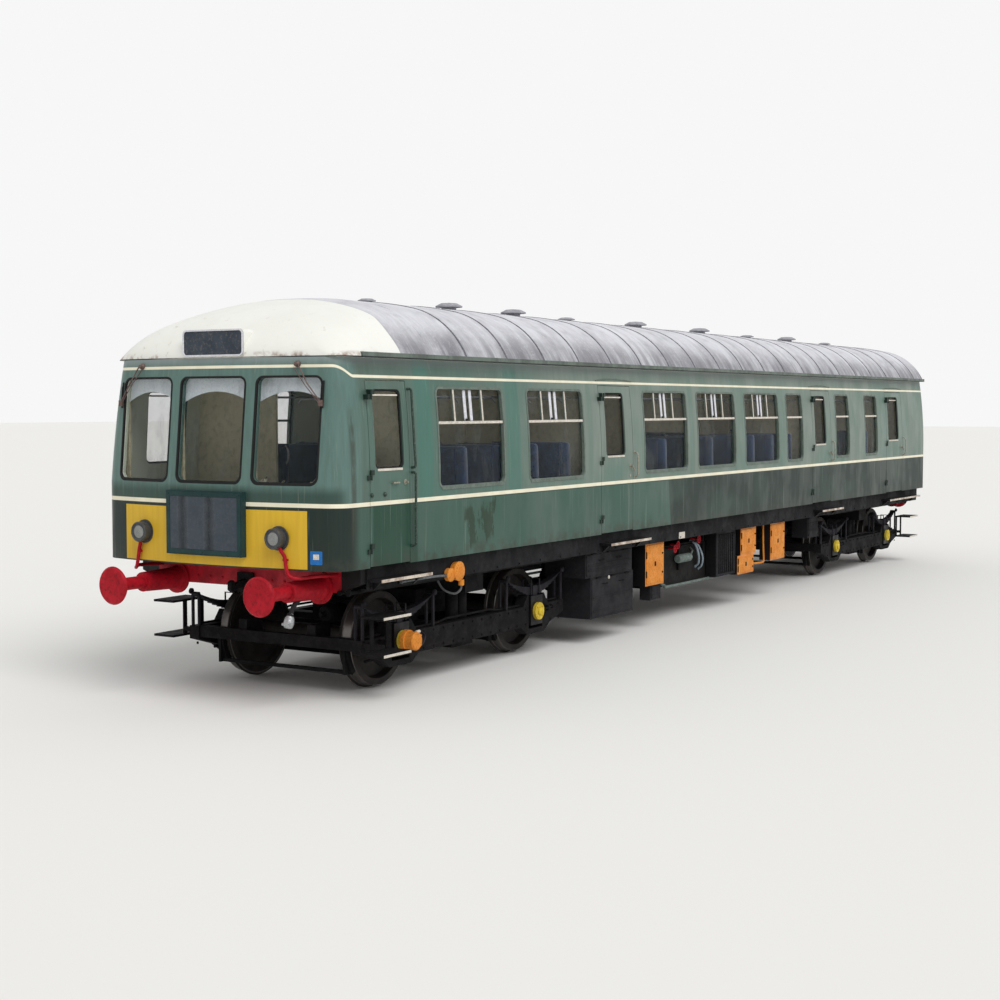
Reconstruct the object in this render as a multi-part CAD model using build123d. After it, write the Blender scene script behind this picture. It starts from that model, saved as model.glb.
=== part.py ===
# Driving power car of a two-car diesel railcar set, 1950s light-alloy type, full size in millimetres.
# X runs along the car with the cab at -X, Y across it with the near side at -Y, and Z up.
# Z = 0 is the lowest point of the wheel flanges, X = Y = 0 the middle of the outline over buffers.
from build123d import *
import math
import os

os.makedirs("parts", exist_ok=True)

# Overall sizes
body_length = 17336          # from the bow of the cab to the rear end wall
body_width = 2820
front_overhang = 330         # buffer heads ahead of the bow
rear_overhang = 350          # buffer heads behind the rear wall
flange_depth = 28
rail = flange_depth          # height of the rail top above the lowest point

# Heights of the body, all above the lowest point
body_bottom = rail + 1247
lean_start = rail + 1980      # the sides and the front lean in above this
door_top = rail + 2925
cant = rail + 3131

# Walls
wall = 60
roof_wall = 50
floor_thickness = 60
floor_lift = 20              # underside of the floor above the body's lower edge
tuck = 5                     # a bracket or hinge leaf runs this far into what carries it
seam = 0.3                   # running gap of flat faces on different bodies
door_gap = 7                 # round a door leaf

# Cab end
bow_radius = 6500
corner_radius = 200
front_rake = 115             # the drip line stands this far behind the waist
cab_shell = 450              # length of the one-piece front shell
lean_radius = 7500           # of the sides above the windows' sills
roof_half = 1395             # the roof overhangs the sides that lean in
dome_length = 1500           # drip line to the roof's full height
dome_end = 1615              # seam of dome and roof, from the bow
dome_nose = 1.6              # bow radius of the dome's top section, in half widths
dome_corner = 900            # corner radius of the dome's top section
dome_run_on = 300            # the sections run this far past the seam before the cut
dome_shares = (0, 0.3, 0.55, 0.75, 0.9, 0.97, 0.995)   # of the dome's rise
front_shares = (0, 0.25, 0.5, 0.75, 1)   # of the height in which the front leans

# Roof section: a crown arc and two tangent shoulder arcs
crown_radius = 3390
crown_half = 755
shoulder_radius = 917

# Running gear
bogie_front = 3060           # front bogie pivot, as in the tables
bogie_distance = 12190       # between the pivots
wheelbase = 2590
wheel_diameter = 914
back_to_back = 1360
tyre_width = 127
axle_radius = 80
journal_radius = 62
journal_clearance = 0.6

# Buffers and headstocks
buffer_spacing = 1727
buffer_height = rail + 1045
buffer_head = 356
headstock_front = 550        # face of the front headstock, behind the bow
headstock_rear = 60          # face of the rear headstock, ahead of the rear wall
headstock_depth = 260
headstock_thickness = 80
headstock_inset = 90         # headstock ends inside the body's sides
headstock_taper = 240        # its lower corners are cut back by this

# Worked out from the sizes above
overall = front_overhang + body_length + rear_overhang
bow_x = -overall / 2 + front_overhang
rear_x = bow_x + body_length
half = body_width / 2
inner = half - wall
wheel_radius = wheel_diameter / 2
axle_z = rail + wheel_radius
crown_angle = math.asin(crown_half / crown_radius)
shoulder_y = (crown_radius - shoulder_radius) * math.sin(crown_angle)
end_angle = math.asin((roof_half - shoulder_y) / shoulder_radius)
shoulder_z = cant - shoulder_radius * math.cos(end_angle)
crown_z = shoulder_z - (crown_radius - shoulder_radius) * math.cos(crown_angle)
roof_top = crown_z + crown_radius
floor_low = body_bottom + floor_lift
floor_top = floor_low + floor_thickness
cant_inner = inner - lean_radius + math.sqrt(lean_radius ** 2 - (cant - lean_start) ** 2)   # walls at the cantrail
table_length = 17336         # places in the tables are drawn for this body length and spread with it
table_start = 220            # and count from a line this far ahead of the bow
stretch = body_length / table_length


def station(distance):
    """X of a place in the tables."""
    return bow_x + (distance - table_start) * stretch


def lean(z):
    """How far the sides stand in from their full width at a height."""
    rise = max(z - lean_start, 0)
    return lean_radius - math.sqrt(lean_radius ** 2 - rise ** 2)


def across(sign, near, far):
    """A span in Y on one side of the car, from its distances off the middle line."""
    return sorted((sign * near, sign * far))


def block(x, y, z):
    """A box between the two ends of each span."""
    size = [abs(span[1] - span[0]) for span in (x, y, z)]
    middle = [(span[0] + span[1]) / 2 for span in (x, y, z)]
    return Pos(*middle) * Box(*size)


def side_sheet(face, y):
    """A plate as thick as the span in Y, from a face drawn in X and Z."""
    return Pos(0, y[1], 0) * extrude(Plane.XZ * face, y[1] - y[0])


def side_plate(points, y):
    """A plate as thick as the span in Y, from corners in X and Z."""
    return side_sheet(make_face(Polyline(*points, close=True)), y)


def end_plate(points, x):
    """A plate as thick as the span in X, from corners in Y and Z."""
    face = Plane.YZ * make_face(Polyline(*points, close=True))
    return Pos(x[0], 0, 0) * extrude(face, x[1] - x[0])


def side_hole(x, z, radius, y):
    """A pane or cutter with rounded corners in a side."""
    face = RectangleRounded(x[1] - x[0], z[1] - z[0], radius)
    return side_sheet(Pos((x[0] + x[1]) / 2, (z[0] + z[1]) / 2) * face, y)


def end_hole(y, z, radius, x):
    """A pane or cutter with rounded corners in an end."""
    face = RectangleRounded(y[1] - y[0], z[1] - z[0], radius)
    face = Plane.YZ * Pos((y[0] + y[1]) / 2, (z[0] + z[1]) / 2) * face
    return Pos(x[0], 0, 0) * extrude(face, x[1] - x[0])


def side_skin(sign, x, y, z, upright=False):
    """A plate of the side, as far off the middle line at the sills as y says, that leans in above them.

    With upright its inner edge stays plumb."""
    turn = sign if z[1] > lean_start else 0
    if not turn:
        return block(x, across(sign, *y), z)
    low = max(z[0], lean_start)
    middle = (low + z[1]) / 2
    edges = []
    for distance in y:
        shift = 0 if upright and distance == y[0] else 1
        corners = [(sign * (distance - shift * lean(height)), height) for height in (low, middle, z[1])]
        edges.append(ThreePointArc(*corners) if shift else Line(corners[0], corners[2]))
        if z[0] < low:
            edges.append(Line((sign * distance, z[0]), corners[0]))
    bottom = [sign * (distance - (0 if upright and distance == y[0] else lean(z[0]))) for distance in y]
    top = [sign * (distance - (0 if upright and distance == y[0] else lean(z[1]))) for distance in y]
    edges.append(Line((bottom[0], z[0]), (bottom[1], z[0])))
    edges.append(Line((top[0], z[1]), (top[1], z[1])))
    return Pos(x[0], 0, 0) * extrude(Plane.YZ * make_face(edges), x[1] - x[0])


def joined(pieces):
    """The pieces as one solid."""
    whole = pieces[0]
    for piece in pieces[1:]:
        whole += piece
    return whole


def save(name, *pieces):
    """Write one node, as one solid or as solids that don't touch."""
    solids = []
    for piece in pieces:
        solids.extend(piece.solids())
    export_step(Compound(children=solids) if len(solids) > 1 else solids[0], f"parts/{name}.step")


# Body shell

def roof_width(z, inset=0):
    """Half the roof's width at a height, from its arcs."""
    if z > crown_z + (crown_radius - inset) * math.cos(crown_angle):
        return math.sqrt((crown_radius - inset) ** 2 - (z - crown_z) ** 2)
    return shoulder_y + math.sqrt((shoulder_radius - inset) ** 2 - (z - shoulder_z) ** 2)


def roof_face(inset, low):
    """The roof's section, closed by a flat line."""
    crown_y = (crown_radius - inset) * math.sin(crown_angle)
    join_z = crown_z + (crown_radius - inset) * math.cos(crown_angle)
    edge_y = roof_width(low, inset)
    middle = (crown_angle + math.acos((low - shoulder_z) / (shoulder_radius - inset))) / 2
    bend_y = shoulder_y + (shoulder_radius - inset) * math.sin(middle)
    bend_z = shoulder_z + (shoulder_radius - inset) * math.cos(middle)
    outline = [
        ThreePointArc((-edge_y, low), (-bend_y, bend_z), (-crown_y, join_z)),
        ThreePointArc((-crown_y, join_z), (0, crown_z + crown_radius - inset), (crown_y, join_z)),
        ThreePointArc((crown_y, join_z), (bend_y, bend_z), (edge_y, low)),
        Line((edge_y, low), (-edge_y, low)),
    ]
    return Plane.YZ * make_face(outline)


def roof_solid(x, inset=0):
    """The roof over a span in X, as one solid down to the cantrail."""
    return Pos(x[0], 0, 0) * extrude(roof_face(inset, cant), x[1] - x[0])


def bow_face(front, width, radius, corner, back, z):
    """A plan of the cab end: a bow, two tangent corner arcs, straight sides and a straight back."""
    middle = front + radius
    corner_y = width - corner
    corner_x = middle - math.sqrt((radius - corner) ** 2 - corner_y ** 2)
    angle = math.atan2(corner_y, middle - corner_x)
    meet = (middle - radius * math.cos(angle), radius * math.sin(angle))
    bend = (math.pi / 2 + angle) / 2
    turn = (corner_x - corner * math.cos(bend), corner_y + corner * math.sin(bend))
    plan = make_face([
        ThreePointArc((meet[0], -meet[1]), (front, 0), meet),
        ThreePointArc(meet, turn, (corner_x, width)),
        Line((corner_x, width), (back, width)),
        Line((back, width), (back, -width)),
        Line((back, -width), (corner_x, -width)),
        ThreePointArc((corner_x, -width), (turn[0], -turn[1]), (meet[0], -meet[1])),
    ])
    return Pos(0, 0, z) * plan


def bow_surface(y):
    """X of the cab front's outside at this distance off the middle line, below the rake."""
    return bow_x + bow_radius - math.sqrt(bow_radius ** 2 - y ** 2)


def front_layer(inset):
    """The solid inside the front's skin at this depth: upright to the windows, then raked and leaning in."""
    back = bow_x + cab_shell
    sections = []
    for share in front_shares:
        z = lean_start + share * (cant - lean_start)
        sections.append(bow_face(bow_x + inset + share * front_rake, half - inset - lean(z), bow_radius - inset,
                                 corner_radius - inset, back, z))
    upright = bow_face(bow_x + inset, half - inset, bow_radius - inset, corner_radius - inset, back, body_bottom)
    return extrude(upright, lean_start - body_bottom) + loft(sections)


def dome_solid(inset):
    """Sections of the dome at rising heights, each narrower and further back."""
    rise = roof_top - inset - cant
    back = bow_x + dome_end + dome_run_on
    sections = []
    for share in dome_shares:
        z = cant + share * rise
        width = roof_width(z, inset)
        front = bow_x + front_rake + inset + (dome_length - inset) * (1 - math.sqrt(1 - share ** 2))
        radius = (bow_radius - inset) * (1 - share) + dome_nose * width * share
        corner = min(corner_radius - inset + (dome_corner - corner_radius) * share, 0.8 * width)
        sections.append(bow_face(front, width, radius, corner, back, z))
    return loft(sections) & block((bow_x, bow_x + dome_end), (-half, half), (cant, roof_top))


def dome_void():
    """The hollow of the dome, above a rail as wide as the walls under it."""
    front = bow_x + front_rake + wall
    plan = bow_face(front, cant_inner, bow_radius - wall, corner_radius - wall, bow_x + dome_end + 1, cant - 1)
    return dome_solid(roof_wall) & extrude(plan, roof_top - cant)


def roof_void(x):
    """The hollow of the roof over a span in X, above a rail on each side."""
    return roof_solid(x, roof_wall) & block(x, (-cant_inner, cant_inner), (cant - 1, roof_top))


# Window openings in each side: distance behind the bow, width
side_windows = [
    (1910, 1235), (3610, 1240), (6330, 1240), (7860, 1240), (9410, 1240),
    (10940, 660), (12995, 640), (14375, 640),
]
window_low = rail + 1913
window_high = rail + 2883
window_radius = 75

# Doors in each side: name, distance of the leaf behind the bow, leaf width, droplight offset, droplight width
side_doors = [
    ("cab_door", 800, 620, 85, 450),
    ("front_door", 5240, 780, 115, 480),
    ("middle_door", 11990, 780, 95, 480),
    ("rear_door", 15470, 850, 95, 560),
]
droplight_low = rail + 2128
droplight_high = rail + 2850
droplight_radius = 55
door_thickness = 45
door_foot = body_bottom + 12
swing_reach = 2              # the free edge of a leaf at its widest, past the leaf's width
hinge_radius = 11
hinge_out = 14               # hinge axis outside the panels
hinge_length = 90
hinge_leaf = 50              # a hinge's leaf reaches this far from the pin
hinge_heights = (rail + 1420, rail + 2080, rail + 2800)

gutter_front = 480           # where the gutters begin, behind the bow
gutter_thickness = 25
gutter_height = 48

# Windows of the cab front: from and to in Y
front_windows = [(-1165, -510), (-375, 375), (510, 1165)]
front_window_low = rail + 2020
front_window_high = rail + 2950
front_window_radius = 60


def side_wall(sign):
    """One side from the front shell to the rear end, with its windows and doorways cut."""
    length = (bow_x + cab_shell, rear_x)
    cut_y = across(sign, cant_inner - tuck, half + tuck)
    panel = side_skin(sign, length, (inner, half), (body_bottom, cant))
    for start, width in side_windows:
        x = station(start)
        panel -= side_hole((x, x + width), (window_low, window_high), window_radius, cut_y)
    for name, start, width, offset, glass in side_doors:
        x = station(start)
        panel -= block((x - door_gap, x + width + door_gap), cut_y, (body_bottom - 1, door_top + door_gap))
        for z in hinge_heights:
            panel += hinge_half(sign, x, z, -1)
    return panel


def hinge_half(sign, x, z, side):
    """Half a hinge: side -1 is the lower half on the body, side 1 the upper half on the door."""
    pin_y = half + hinge_out
    middle = z + side * (hinge_length / 4 + seam / 2)
    knuckle = Pos(x, sign * pin_y, middle) * Cylinder(hinge_radius, hinge_length / 2 - seam)
    reach = (x, x - hinge_leaf) if side < 0 else (x + door_gap / 2, x + hinge_leaf)
    heights = (z + side * 2 * seam, z + side * hinge_length / 2)
    return knuckle + block(reach, across(sign, half - lean(z + hinge_length) - tuck, pin_y), heights)


def door_leaf(sign, start, width, offset, glass):
    """A leaf as thick as the whole door, its free edge cut to its swing, with the upper halves of its hinges."""
    x = station(start)
    leaf = side_skin(sign, (x, x + width), (half - door_thickness, half), (door_foot, door_top))
    leaf &= Pos(x, sign * (half + hinge_out), cant / 2) * Cylinder(width + swing_reach, cant)
    leaf -= side_hole((x + offset, x + offset + glass), (droplight_low, droplight_high), droplight_radius,
                      across(sign, cant_inner - tuck, half + tuck))
    for z in hinge_heights:
        leaf += hinge_half(sign, x, z, 1)
    return leaf


save("side_near", side_wall(-1))
save("side_far", side_wall(1))
for name, start, width, offset, glass in side_doors:
    save(f"{name}_near", door_leaf(-1, start, width, offset, glass))
    save(f"{name}_far", door_leaf(1, start, width, offset, glass))

front_hole_x = (bow_x - wall, bow_x + cab_shell - wall)
front = front_layer(0) - front_layer(wall)
for y in front_windows:
    front -= end_hole(y, (front_window_low, front_window_high), front_window_radius, front_hole_x)
save("cab_front", front)


def gutters(x):
    """The gutters over a span in X, one each side."""
    return [block(x, across(sign, roof_half - gutter_thickness, half), (cant, cant + gutter_height))
            for sign in (-1, 1)]


roof_x = (bow_x + dome_end, rear_x)
save("cab_dome", joined([dome_solid(0)] + gutters((bow_x + gutter_front, roof_x[0]))) - dome_void())
save("roof", joined([roof_solid(roof_x)] + gutters(roof_x)) - roof_void(roof_x))

# Rear end wall with its gangway opening, and the folded gangway behind it
gangway_half = 380
gangway_low = floor_top
gangway_high = rail + 3100
gangway_radius = 50
gangway_depth = 290
gangway_folds = 5
gangway_wall = 100           # from the way through to the outside of a fold
fold_depth = 35              # how far the bellows go in between two folds
wall_x = (rear_x - wall, rear_x)
way_x = (rear_x - wall - 1, rear_x + gangway_depth + 1)
rear_wall = roof_void(wall_x)
for sign in (-1, 1):
    rear_wall += side_skin(sign, wall_x, (0, inner), (body_bottom, cant), upright=True)
rear_wall -= end_hole((-gangway_half, gangway_half), (gangway_low, gangway_high), gangway_radius, way_x)
rear_wall -= block(way_x, (-gangway_half, gangway_half), (gangway_low, gangway_low + gangway_radius))
save("rear_wall", rear_wall)

rings = []
ring_length = gangway_depth / (2 * gangway_folds)
for number in range(2 * gangway_folds):
    margin = gangway_wall if number % 2 else gangway_wall - fold_depth
    x = rear_x + number * ring_length
    ring = block((x, x + ring_length), (-gangway_half - margin, gangway_half + margin),
                 (gangway_low - margin, gangway_high + margin))
    rings.append(ring)
gangway = joined(rings) - block(way_x, (-gangway_half, gangway_half), (gangway_low, gangway_high))
save("gangway", gangway)

# Floor, underframe and headstocks
floor = bow_face(bow_x + wall, inner, bow_radius - wall, corner_radius - wall, rear_x - wall, floor_low)
save("floor", extrude(floor, floor_thickness))

solebar_outer = half - 75
solebar_low = rail + 1035
solebar_top = floor_low
solebar_flange = 75
sill_outer = 260             # centre sills, two channels back to back with the solebars
sill_flange = 70
beam_web = 14
cross_low = solebar_low + 60
cross_half = 35
bolster_half = 150
bolster_taper = 90           # a bolster is shallower by this at the solebars
bolster_low = rail + 1000    # underside of the pivot
pivot_radius = 170
cross_bars = [1400, 4800, 6450, 8600, 10300, 11500, 13200, 17000]
beam_x = (bow_x + headstock_front + headstock_thickness, rear_x - headstock_rear - headstock_thickness)
pivot_x = (station(bogie_front), station(bogie_front + bogie_distance))


def channel(sign, outer, flange):
    """A channel beam along the car, open towards the middle line."""
    beam = block(beam_x, across(sign, outer - beam_web, outer), (solebar_low, solebar_top))
    for z in (solebar_low, solebar_top - beam_web):
        beam += block(beam_x, across(sign, outer - flange, outer), (z, z + beam_web))
    return beam


beams = []
for sign in (-1, 1):
    beams.append(channel(sign, solebar_outer, solebar_flange))
    beams.append(channel(sign, sill_outer, sill_flange))
save("longitudinal_beams", *beams)

members = []
for distance in cross_bars:
    x = (station(distance) - cross_half, station(distance) + cross_half)
    z = (cross_low, solebar_top - beam_web)
    members.append(block(x, (-sill_outer + beam_web, sill_outer - beam_web), z))
    for sign in (-1, 1):
        members.append(block(x, across(sign, sill_outer, solebar_outer - beam_web), z))
for x in pivot_x:
    span = (x - bolster_half, x + bolster_half)
    middle = block(span, (-sill_outer + sill_flange, sill_outer - sill_flange), (solebar_low, solebar_top))
    middle += Pos(x, 0, (bolster_low + solebar_low) / 2) * Cylinder(pivot_radius, solebar_low - bolster_low)
    members.append(middle)
    for sign in (-1, 1):
        near, far = sign * sill_outer, sign * (solebar_outer - solebar_flange)
        members.append(end_plate([(near, solebar_low), (far, solebar_low + bolster_taper), (far, solebar_top),
                                  (near, solebar_top)], span))
save("cross_members", *members)

headstocks = []
headstock_low = solebar_top - headstock_depth
beam_end = half - headstock_inset
for x in (bow_x + headstock_front, beam_x[1]):
    corners = [(beam_end, solebar_top), (beam_end, headstock_low + headstock_inset),
               (beam_end - headstock_taper, headstock_low)]
    outline = corners + [(-y, z) for y, z in reversed(corners)]
    headstocks.append(end_plate(outline, (x, x + headstock_thickness)))
save("headstocks", *headstocks)

# Buffers and draw hooks at both ends
buffer_flange = 150
buffer_housing = 105
buffer_ram = 60
head_thickness = 40
head_edge = 18
hook_half = 22
hook_plate = 95


def buffer(reach):
    """A buffer along +X from its seat: flange, tapered housing, ram and a flat round head."""
    head = buffer_head / 2
    housing = reach * 0.55
    # distance from the seat, radius
    profile = [(0, 0), (0, buffer_flange), (25, buffer_flange), (25, buffer_housing + 13), (70, buffer_housing),
               (housing, buffer_housing - 13), (housing, buffer_ram), (reach - head_thickness, buffer_ram),
               (reach - head_thickness, head - head_edge), (reach - head_edge, head), (reach, head - head_edge),
               (reach, 0)]
    return revolve(make_face(Polyline(*profile, close=True)), Axis.X)


def draw_hook():
    """A hook along +X from its seat, with its plate."""
    # distance from the seat, height off its middle
    outline = [(0, -40), (160, -40), (210, -75), (250, -50), (250, 20), (215, 40), (190, 20), (200, -15),
               (170, 10), (0, 40)]
    plate = block((0, 30), (-hook_plate, hook_plate), (-hook_plate, hook_plate))
    return side_plate(outline, (-hook_half, hook_half)) + plate


buffers = []
hooks = []
for turn, seat, reach in ((180, bow_x + headstock_front, headstock_front + front_overhang),
                          (0, rear_x - headstock_rear, headstock_rear + rear_overhang)):
    for y in (-buffer_spacing / 2, buffer_spacing / 2):
        buffers.append(Pos(seat, y, buffer_height) * Rot(0, 0, turn) * buffer(reach))
    hooks.append(Pos(seat, 0, buffer_height) * Rot(0, 0, turn) * draw_hook())
save("buffers", *buffers)
save("couplings", *hooks)

# Bogies: frames, bolsters, wheelsets, axleboxes, leaf springs, brakes and footsteps
frame_y = (940, 1060)
frame_low = rail + 300
frame_top = rail + 520
frame_end = wheelbase / 2 + 620
frame_end_low = 90           # the side frames are shallower by this at their ends
horn_half = 150              # opening for an axlebox, half its length
horn_top = rail + 640
horn_ramp = 120
horn_lip = 30
keep_low = rail + 215
keep_thickness = 55
keep_ramp = 160
transom_x = 430
transom_half = 70
transom_top = rail + 680
transom_raised = 620         # half the length of a transom's raised middle
end_bar_half = 45
end_bar_depth = 110
end_bar_x = frame_end - 60
box_half = 125
box_low = axle_z - 150
box_top = axle_z + 170
box_y = (935, 1075)
cover_radius = 95
cover_depth = 40
journal_end = box_y[1] - 45
spring_span = 1180
spring_rise = 120
spring_leaf = 12
leaf_count = 7
spring_y = (960, 1040)
buckle_half = 45
eye_radius = 22
link_half = 14


def bogie_frame(x):
    """Two side frames with horns round the axleboxes, two transoms and the end bars."""
    axles = (x - wheelbase / 2, x + wheelbase / 2)
    top = []
    foot = []
    for axle in axles:
        a, b = axle - horn_half, axle + horn_half
        top += [(a - horn_ramp, frame_top), (a - horn_lip, horn_top), (a, horn_top), (a, keep_low + keep_thickness),
                (b, keep_low + keep_thickness), (b, horn_top), (b + horn_lip, horn_top), (b + horn_ramp, frame_top)]
        foot += [(a - keep_ramp, frame_low), (a - horn_lip, keep_low), (b + horn_lip, keep_low),
                 (b + keep_ramp, frame_low)]
    ends = [(x - frame_end, frame_low + frame_end_low), (x - frame_end, frame_top)]
    far_ends = [(x + frame_end, frame_top), (x + frame_end, frame_low + frame_end_low)]
    outline = ends + top + far_ends + foot[::-1]
    reach = frame_y[0] + tuck
    pieces = [side_plate(outline, across(sign, *frame_y)) for sign in (-1, 1)]
    for offset in (-transom_x, transom_x):
        span = (x + offset - transom_half, x + offset + transom_half)
        pieces.append(block(span, (-reach, reach), (frame_low + 60, frame_top)))
        pieces.append(block(span, (-transom_raised, transom_raised), (frame_top - tuck, transom_top)))
    for end in (-end_bar_x, end_bar_x):
        pieces.append(block((x + end - end_bar_half, x + end + end_bar_half), (-reach, reach),
                            (frame_top - end_bar_depth, frame_top)))
    return joined([pieces[2]] + pieces[:2] + pieces[3:])


bolster_top = bolster_low - seam
bolster_depth = 170
pivot_plate = 30
coil_y = 855                 # secondary springs, inside the side frames
coil_x = 85
coil_radius = 65
plank_top = frame_low - 10
plank_thickness = 60
plank_half = frame_y[0] - 10


def bogie_bolster(x):
    """The bolster between the transoms on its coil springs and plank, with the pivot's lower half."""
    under = bolster_top - pivot_plate - bolster_depth
    guide = transom_x - transom_half - seam
    coil = Cylinder(coil_radius, under - plank_top + 2 * tuck)
    pieces = [block((x - bolster_depth, x + bolster_depth), (-1080, 1080), (under, bolster_top - pivot_plate))]
    pieces.append(block((x - guide, x + guide), (-600, 600), (transom_top - 130, under + 20)))
    pieces.append(Pos(x, 0, bolster_top - pivot_plate / 2) * Cylinder(pivot_radius - 5, pivot_plate))
    for y in (-coil_y, coil_y):
        for offset in (-coil_x, coil_x):
            pieces.append(Pos(x + offset, y, (plank_top + under) / 2) * coil)
    pieces.append(block((x - 200, x + 200), (-plank_half, plank_half), (plank_top - plank_thickness, plank_top)))
    return joined(pieces)


hub_radius = 120
rim_radius = wheel_radius - 65
wheel_inside = back_to_back / 2
wheel_outside = wheel_inside + tyre_width


def wheelset(x):
    """An axle with two wheels turned from one profile each."""
    # radius, distance off the middle line
    profile = [
        (axle_radius - 5, wheel_inside - 25), (hub_radius, wheel_inside - 25),
        (hub_radius + 30, wheel_inside + 35), (rim_radius - 20, wheel_inside + 20), (rim_radius, wheel_inside),
        (wheel_radius + flange_depth - 6, wheel_inside), (wheel_radius + flange_depth, wheel_inside + 10),
        (wheel_radius + 4, wheel_inside + 32), (wheel_radius, wheel_outside - 8),
        (wheel_radius - 8, wheel_outside), (rim_radius, wheel_outside), (rim_radius - 20, wheel_inside + 50),
        (hub_radius + 40, wheel_inside + 65), (hub_radius, wheel_outside + 10),
        (axle_radius - 5, wheel_outside + 10),
    ]
    wheel = revolve(Plane.XY * make_face(Polyline(*profile, close=True)), Axis.Y)
    axle = Rot(90, 0, 0) * Cylinder(axle_radius, 2 * wheel_inside)
    journals = Rot(90, 0, 0) * Cylinder(journal_radius, 2 * journal_end)
    return Pos(x, 0, axle_z) * joined([axle, journals, wheel, mirror(wheel, Plane.XZ)])


def axlebox(x, sign):
    """A box on the journal, bored from the inside, with a round cover outside."""
    body = block((x - box_half, x + box_half), across(sign, *box_y), (box_low, box_top))
    bore = Cylinder(journal_radius + journal_clearance, journal_end - box_y[0] + 2)
    body -= Pos(x, sign * (box_y[0] + journal_end) / 2, axle_z) * Rot(90, 0, 0) * bore
    cover = Cylinder(cover_radius, cover_depth)
    return body + Pos(x, sign * (box_y[1] + cover_depth / 2), axle_z) * Rot(90, 0, 0) * cover


def leaf_spring(x, sign):
    """Leaves of falling length under the master leaf, with a buckle and a link at each end."""
    radius = (spring_span ** 2 / 4 + spring_rise ** 2) / (2 * spring_rise)
    top = box_top + spring_leaf * leaf_count + 10
    y = across(sign, *spring_y)
    pieces = []
    for number in range(leaf_count):
        reach = spring_span / 2 * (1 - number / (leaf_count + 1.5))
        rise = radius - math.sqrt(radius ** 2 - reach ** 2)
        low = top - (number + 1) * spring_leaf
        high = low + spring_leaf
        face = make_face([
            ThreePointArc((x - reach, low + rise), (x, low), (x + reach, low + rise)),
            Line((x + reach, low + rise), (x + reach, high + rise)),
            ThreePointArc((x + reach, high + rise), (x, high), (x - reach, high + rise)),
            Line((x - reach, high + rise), (x - reach, low + rise)),
        ])
        pieces.append(side_sheet(face, y))
    pieces.append(block((x - buckle_half, x + buckle_half), (y[0] - 12, y[1] + 12), (box_top, top + 14)))
    eye_z = top - spring_leaf / 2 + spring_rise
    for eye in (x - spring_span / 2, x + spring_span / 2):
        pin = Cylinder(eye_radius, spring_y[1] - spring_y[0])
        pieces.append(Pos(eye, sign * sum(spring_y) / 2, eye_z) * Rot(90, 0, 0) * pin)
        for link_y in y:
            pieces.append(block((eye - link_half, eye + link_half), (link_y - 10, link_y + 10),
                                (frame_top, eye_z)))
    return joined(pieces)


brake_gap = 8                # shoe off the tread
brake_shoe = 48              # thickness of a shoe
brake_angles = (8, 36)       # a shoe's ends, degrees below the axle
brake_y = (wheel_inside + 47, wheel_outside - 7)
brake_hanger = 14            # half the width of a hanger
brake_beam_radius = 20
brake_beam_reach = wheel_radius + flange_depth + 60
brake_beam_angle = 30
brake_tube_radius = 24
brake_tube_x = wheel_radius + flange_depth + 45
brake_tube_z = frame_top - 45


def brake(x, side, bar_face):
    """Shoes on one side of a wheelset with hangers and a beam, on side -1 or 1 along X from the axle."""
    # bar_face: distance of the bogie's end bar from the axle, or 0 where a cross tube carries the hangers
    def place(radius, angle):
        angle = math.radians(angle)
        return (x + side * radius * math.cos(angle), axle_z - radius * math.sin(angle))

    near, far = wheel_radius + brake_gap, wheel_radius + brake_gap + brake_shoe
    first, last = brake_angles
    middle = (first + last) / 2
    shoe = make_face([
        ThreePointArc(place(near, first), place(near, middle), place(near, last)),
        Line(place(near, last), place(far, last)),
        ThreePointArc(place(far, last), place(far, middle), place(far, first)),
        Line(place(far, first), place(near, first)),
    ])
    beam_at = place(brake_beam_reach, brake_beam_angle)
    hanger_far = bar_face if bar_face else brake_tube_x
    hanger_x = sorted((x + side * (near + 2), x + side * hanger_far))
    hanger_top = frame_top - 20 if bar_face else brake_tube_z
    pieces = []
    middle_y = sum(brake_y) / 2
    pieces.append(Pos(beam_at[0], 0, beam_at[1]) * Rot(90, 0, 0) * Cylinder(brake_beam_radius, 2 * middle_y))
    for sign in (-1, 1):
        pieces.append(side_sheet(shoe, across(sign, *brake_y)))
        pieces.append(block(hanger_x, across(sign, middle_y - brake_hanger, middle_y + brake_hanger),
                            (beam_at[1] - brake_beam_radius, hanger_top)))
    if not bar_face:
        tube = Cylinder(brake_tube_radius, 2 * frame_y[0])
        pieces.append(Pos(x + side * brake_tube_x, 0, brake_tube_z) * Rot(90, 0, 0) * tube)
    return joined(pieces)


step_outer = 1400
step_depth = 260
step_half = 230
step_thickness = 22
step_x = wheelbase / 2 + 535          # middle of a tread, from the pivot
strap_places = (wheelbase / 2 + 345, wheelbase / 2 + 590)
strap_half = 25
strap_thickness = 14
ladder_heights = (rail + 430, rail + 775)


def footsteps(x, end):
    """Two treads on straps at the outer end of a bogie, one ladder on each side."""
    ladders = []
    strap_y = step_outer - step_depth
    for sign in (-1, 1):
        pieces = []
        for z in ladder_heights:
            pieces.append(block((x + end * (step_x - step_half), x + end * (step_x + step_half)),
                                across(sign, strap_y, step_outer), (z - step_thickness, z)))
        for place in strap_places:
            span = (x + end * place - strap_half, x + end * place + strap_half)
            pieces.append(block(span, across(sign, strap_y, strap_y + strap_thickness),
                                (ladder_heights[0] - step_thickness, ladder_heights[1])))
            pieces.append(block(span, across(sign, frame_y[1], strap_y + tuck), (frame_top - 60, frame_top - 20)))
        ladders.append(joined(pieces))
    return ladders


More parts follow.
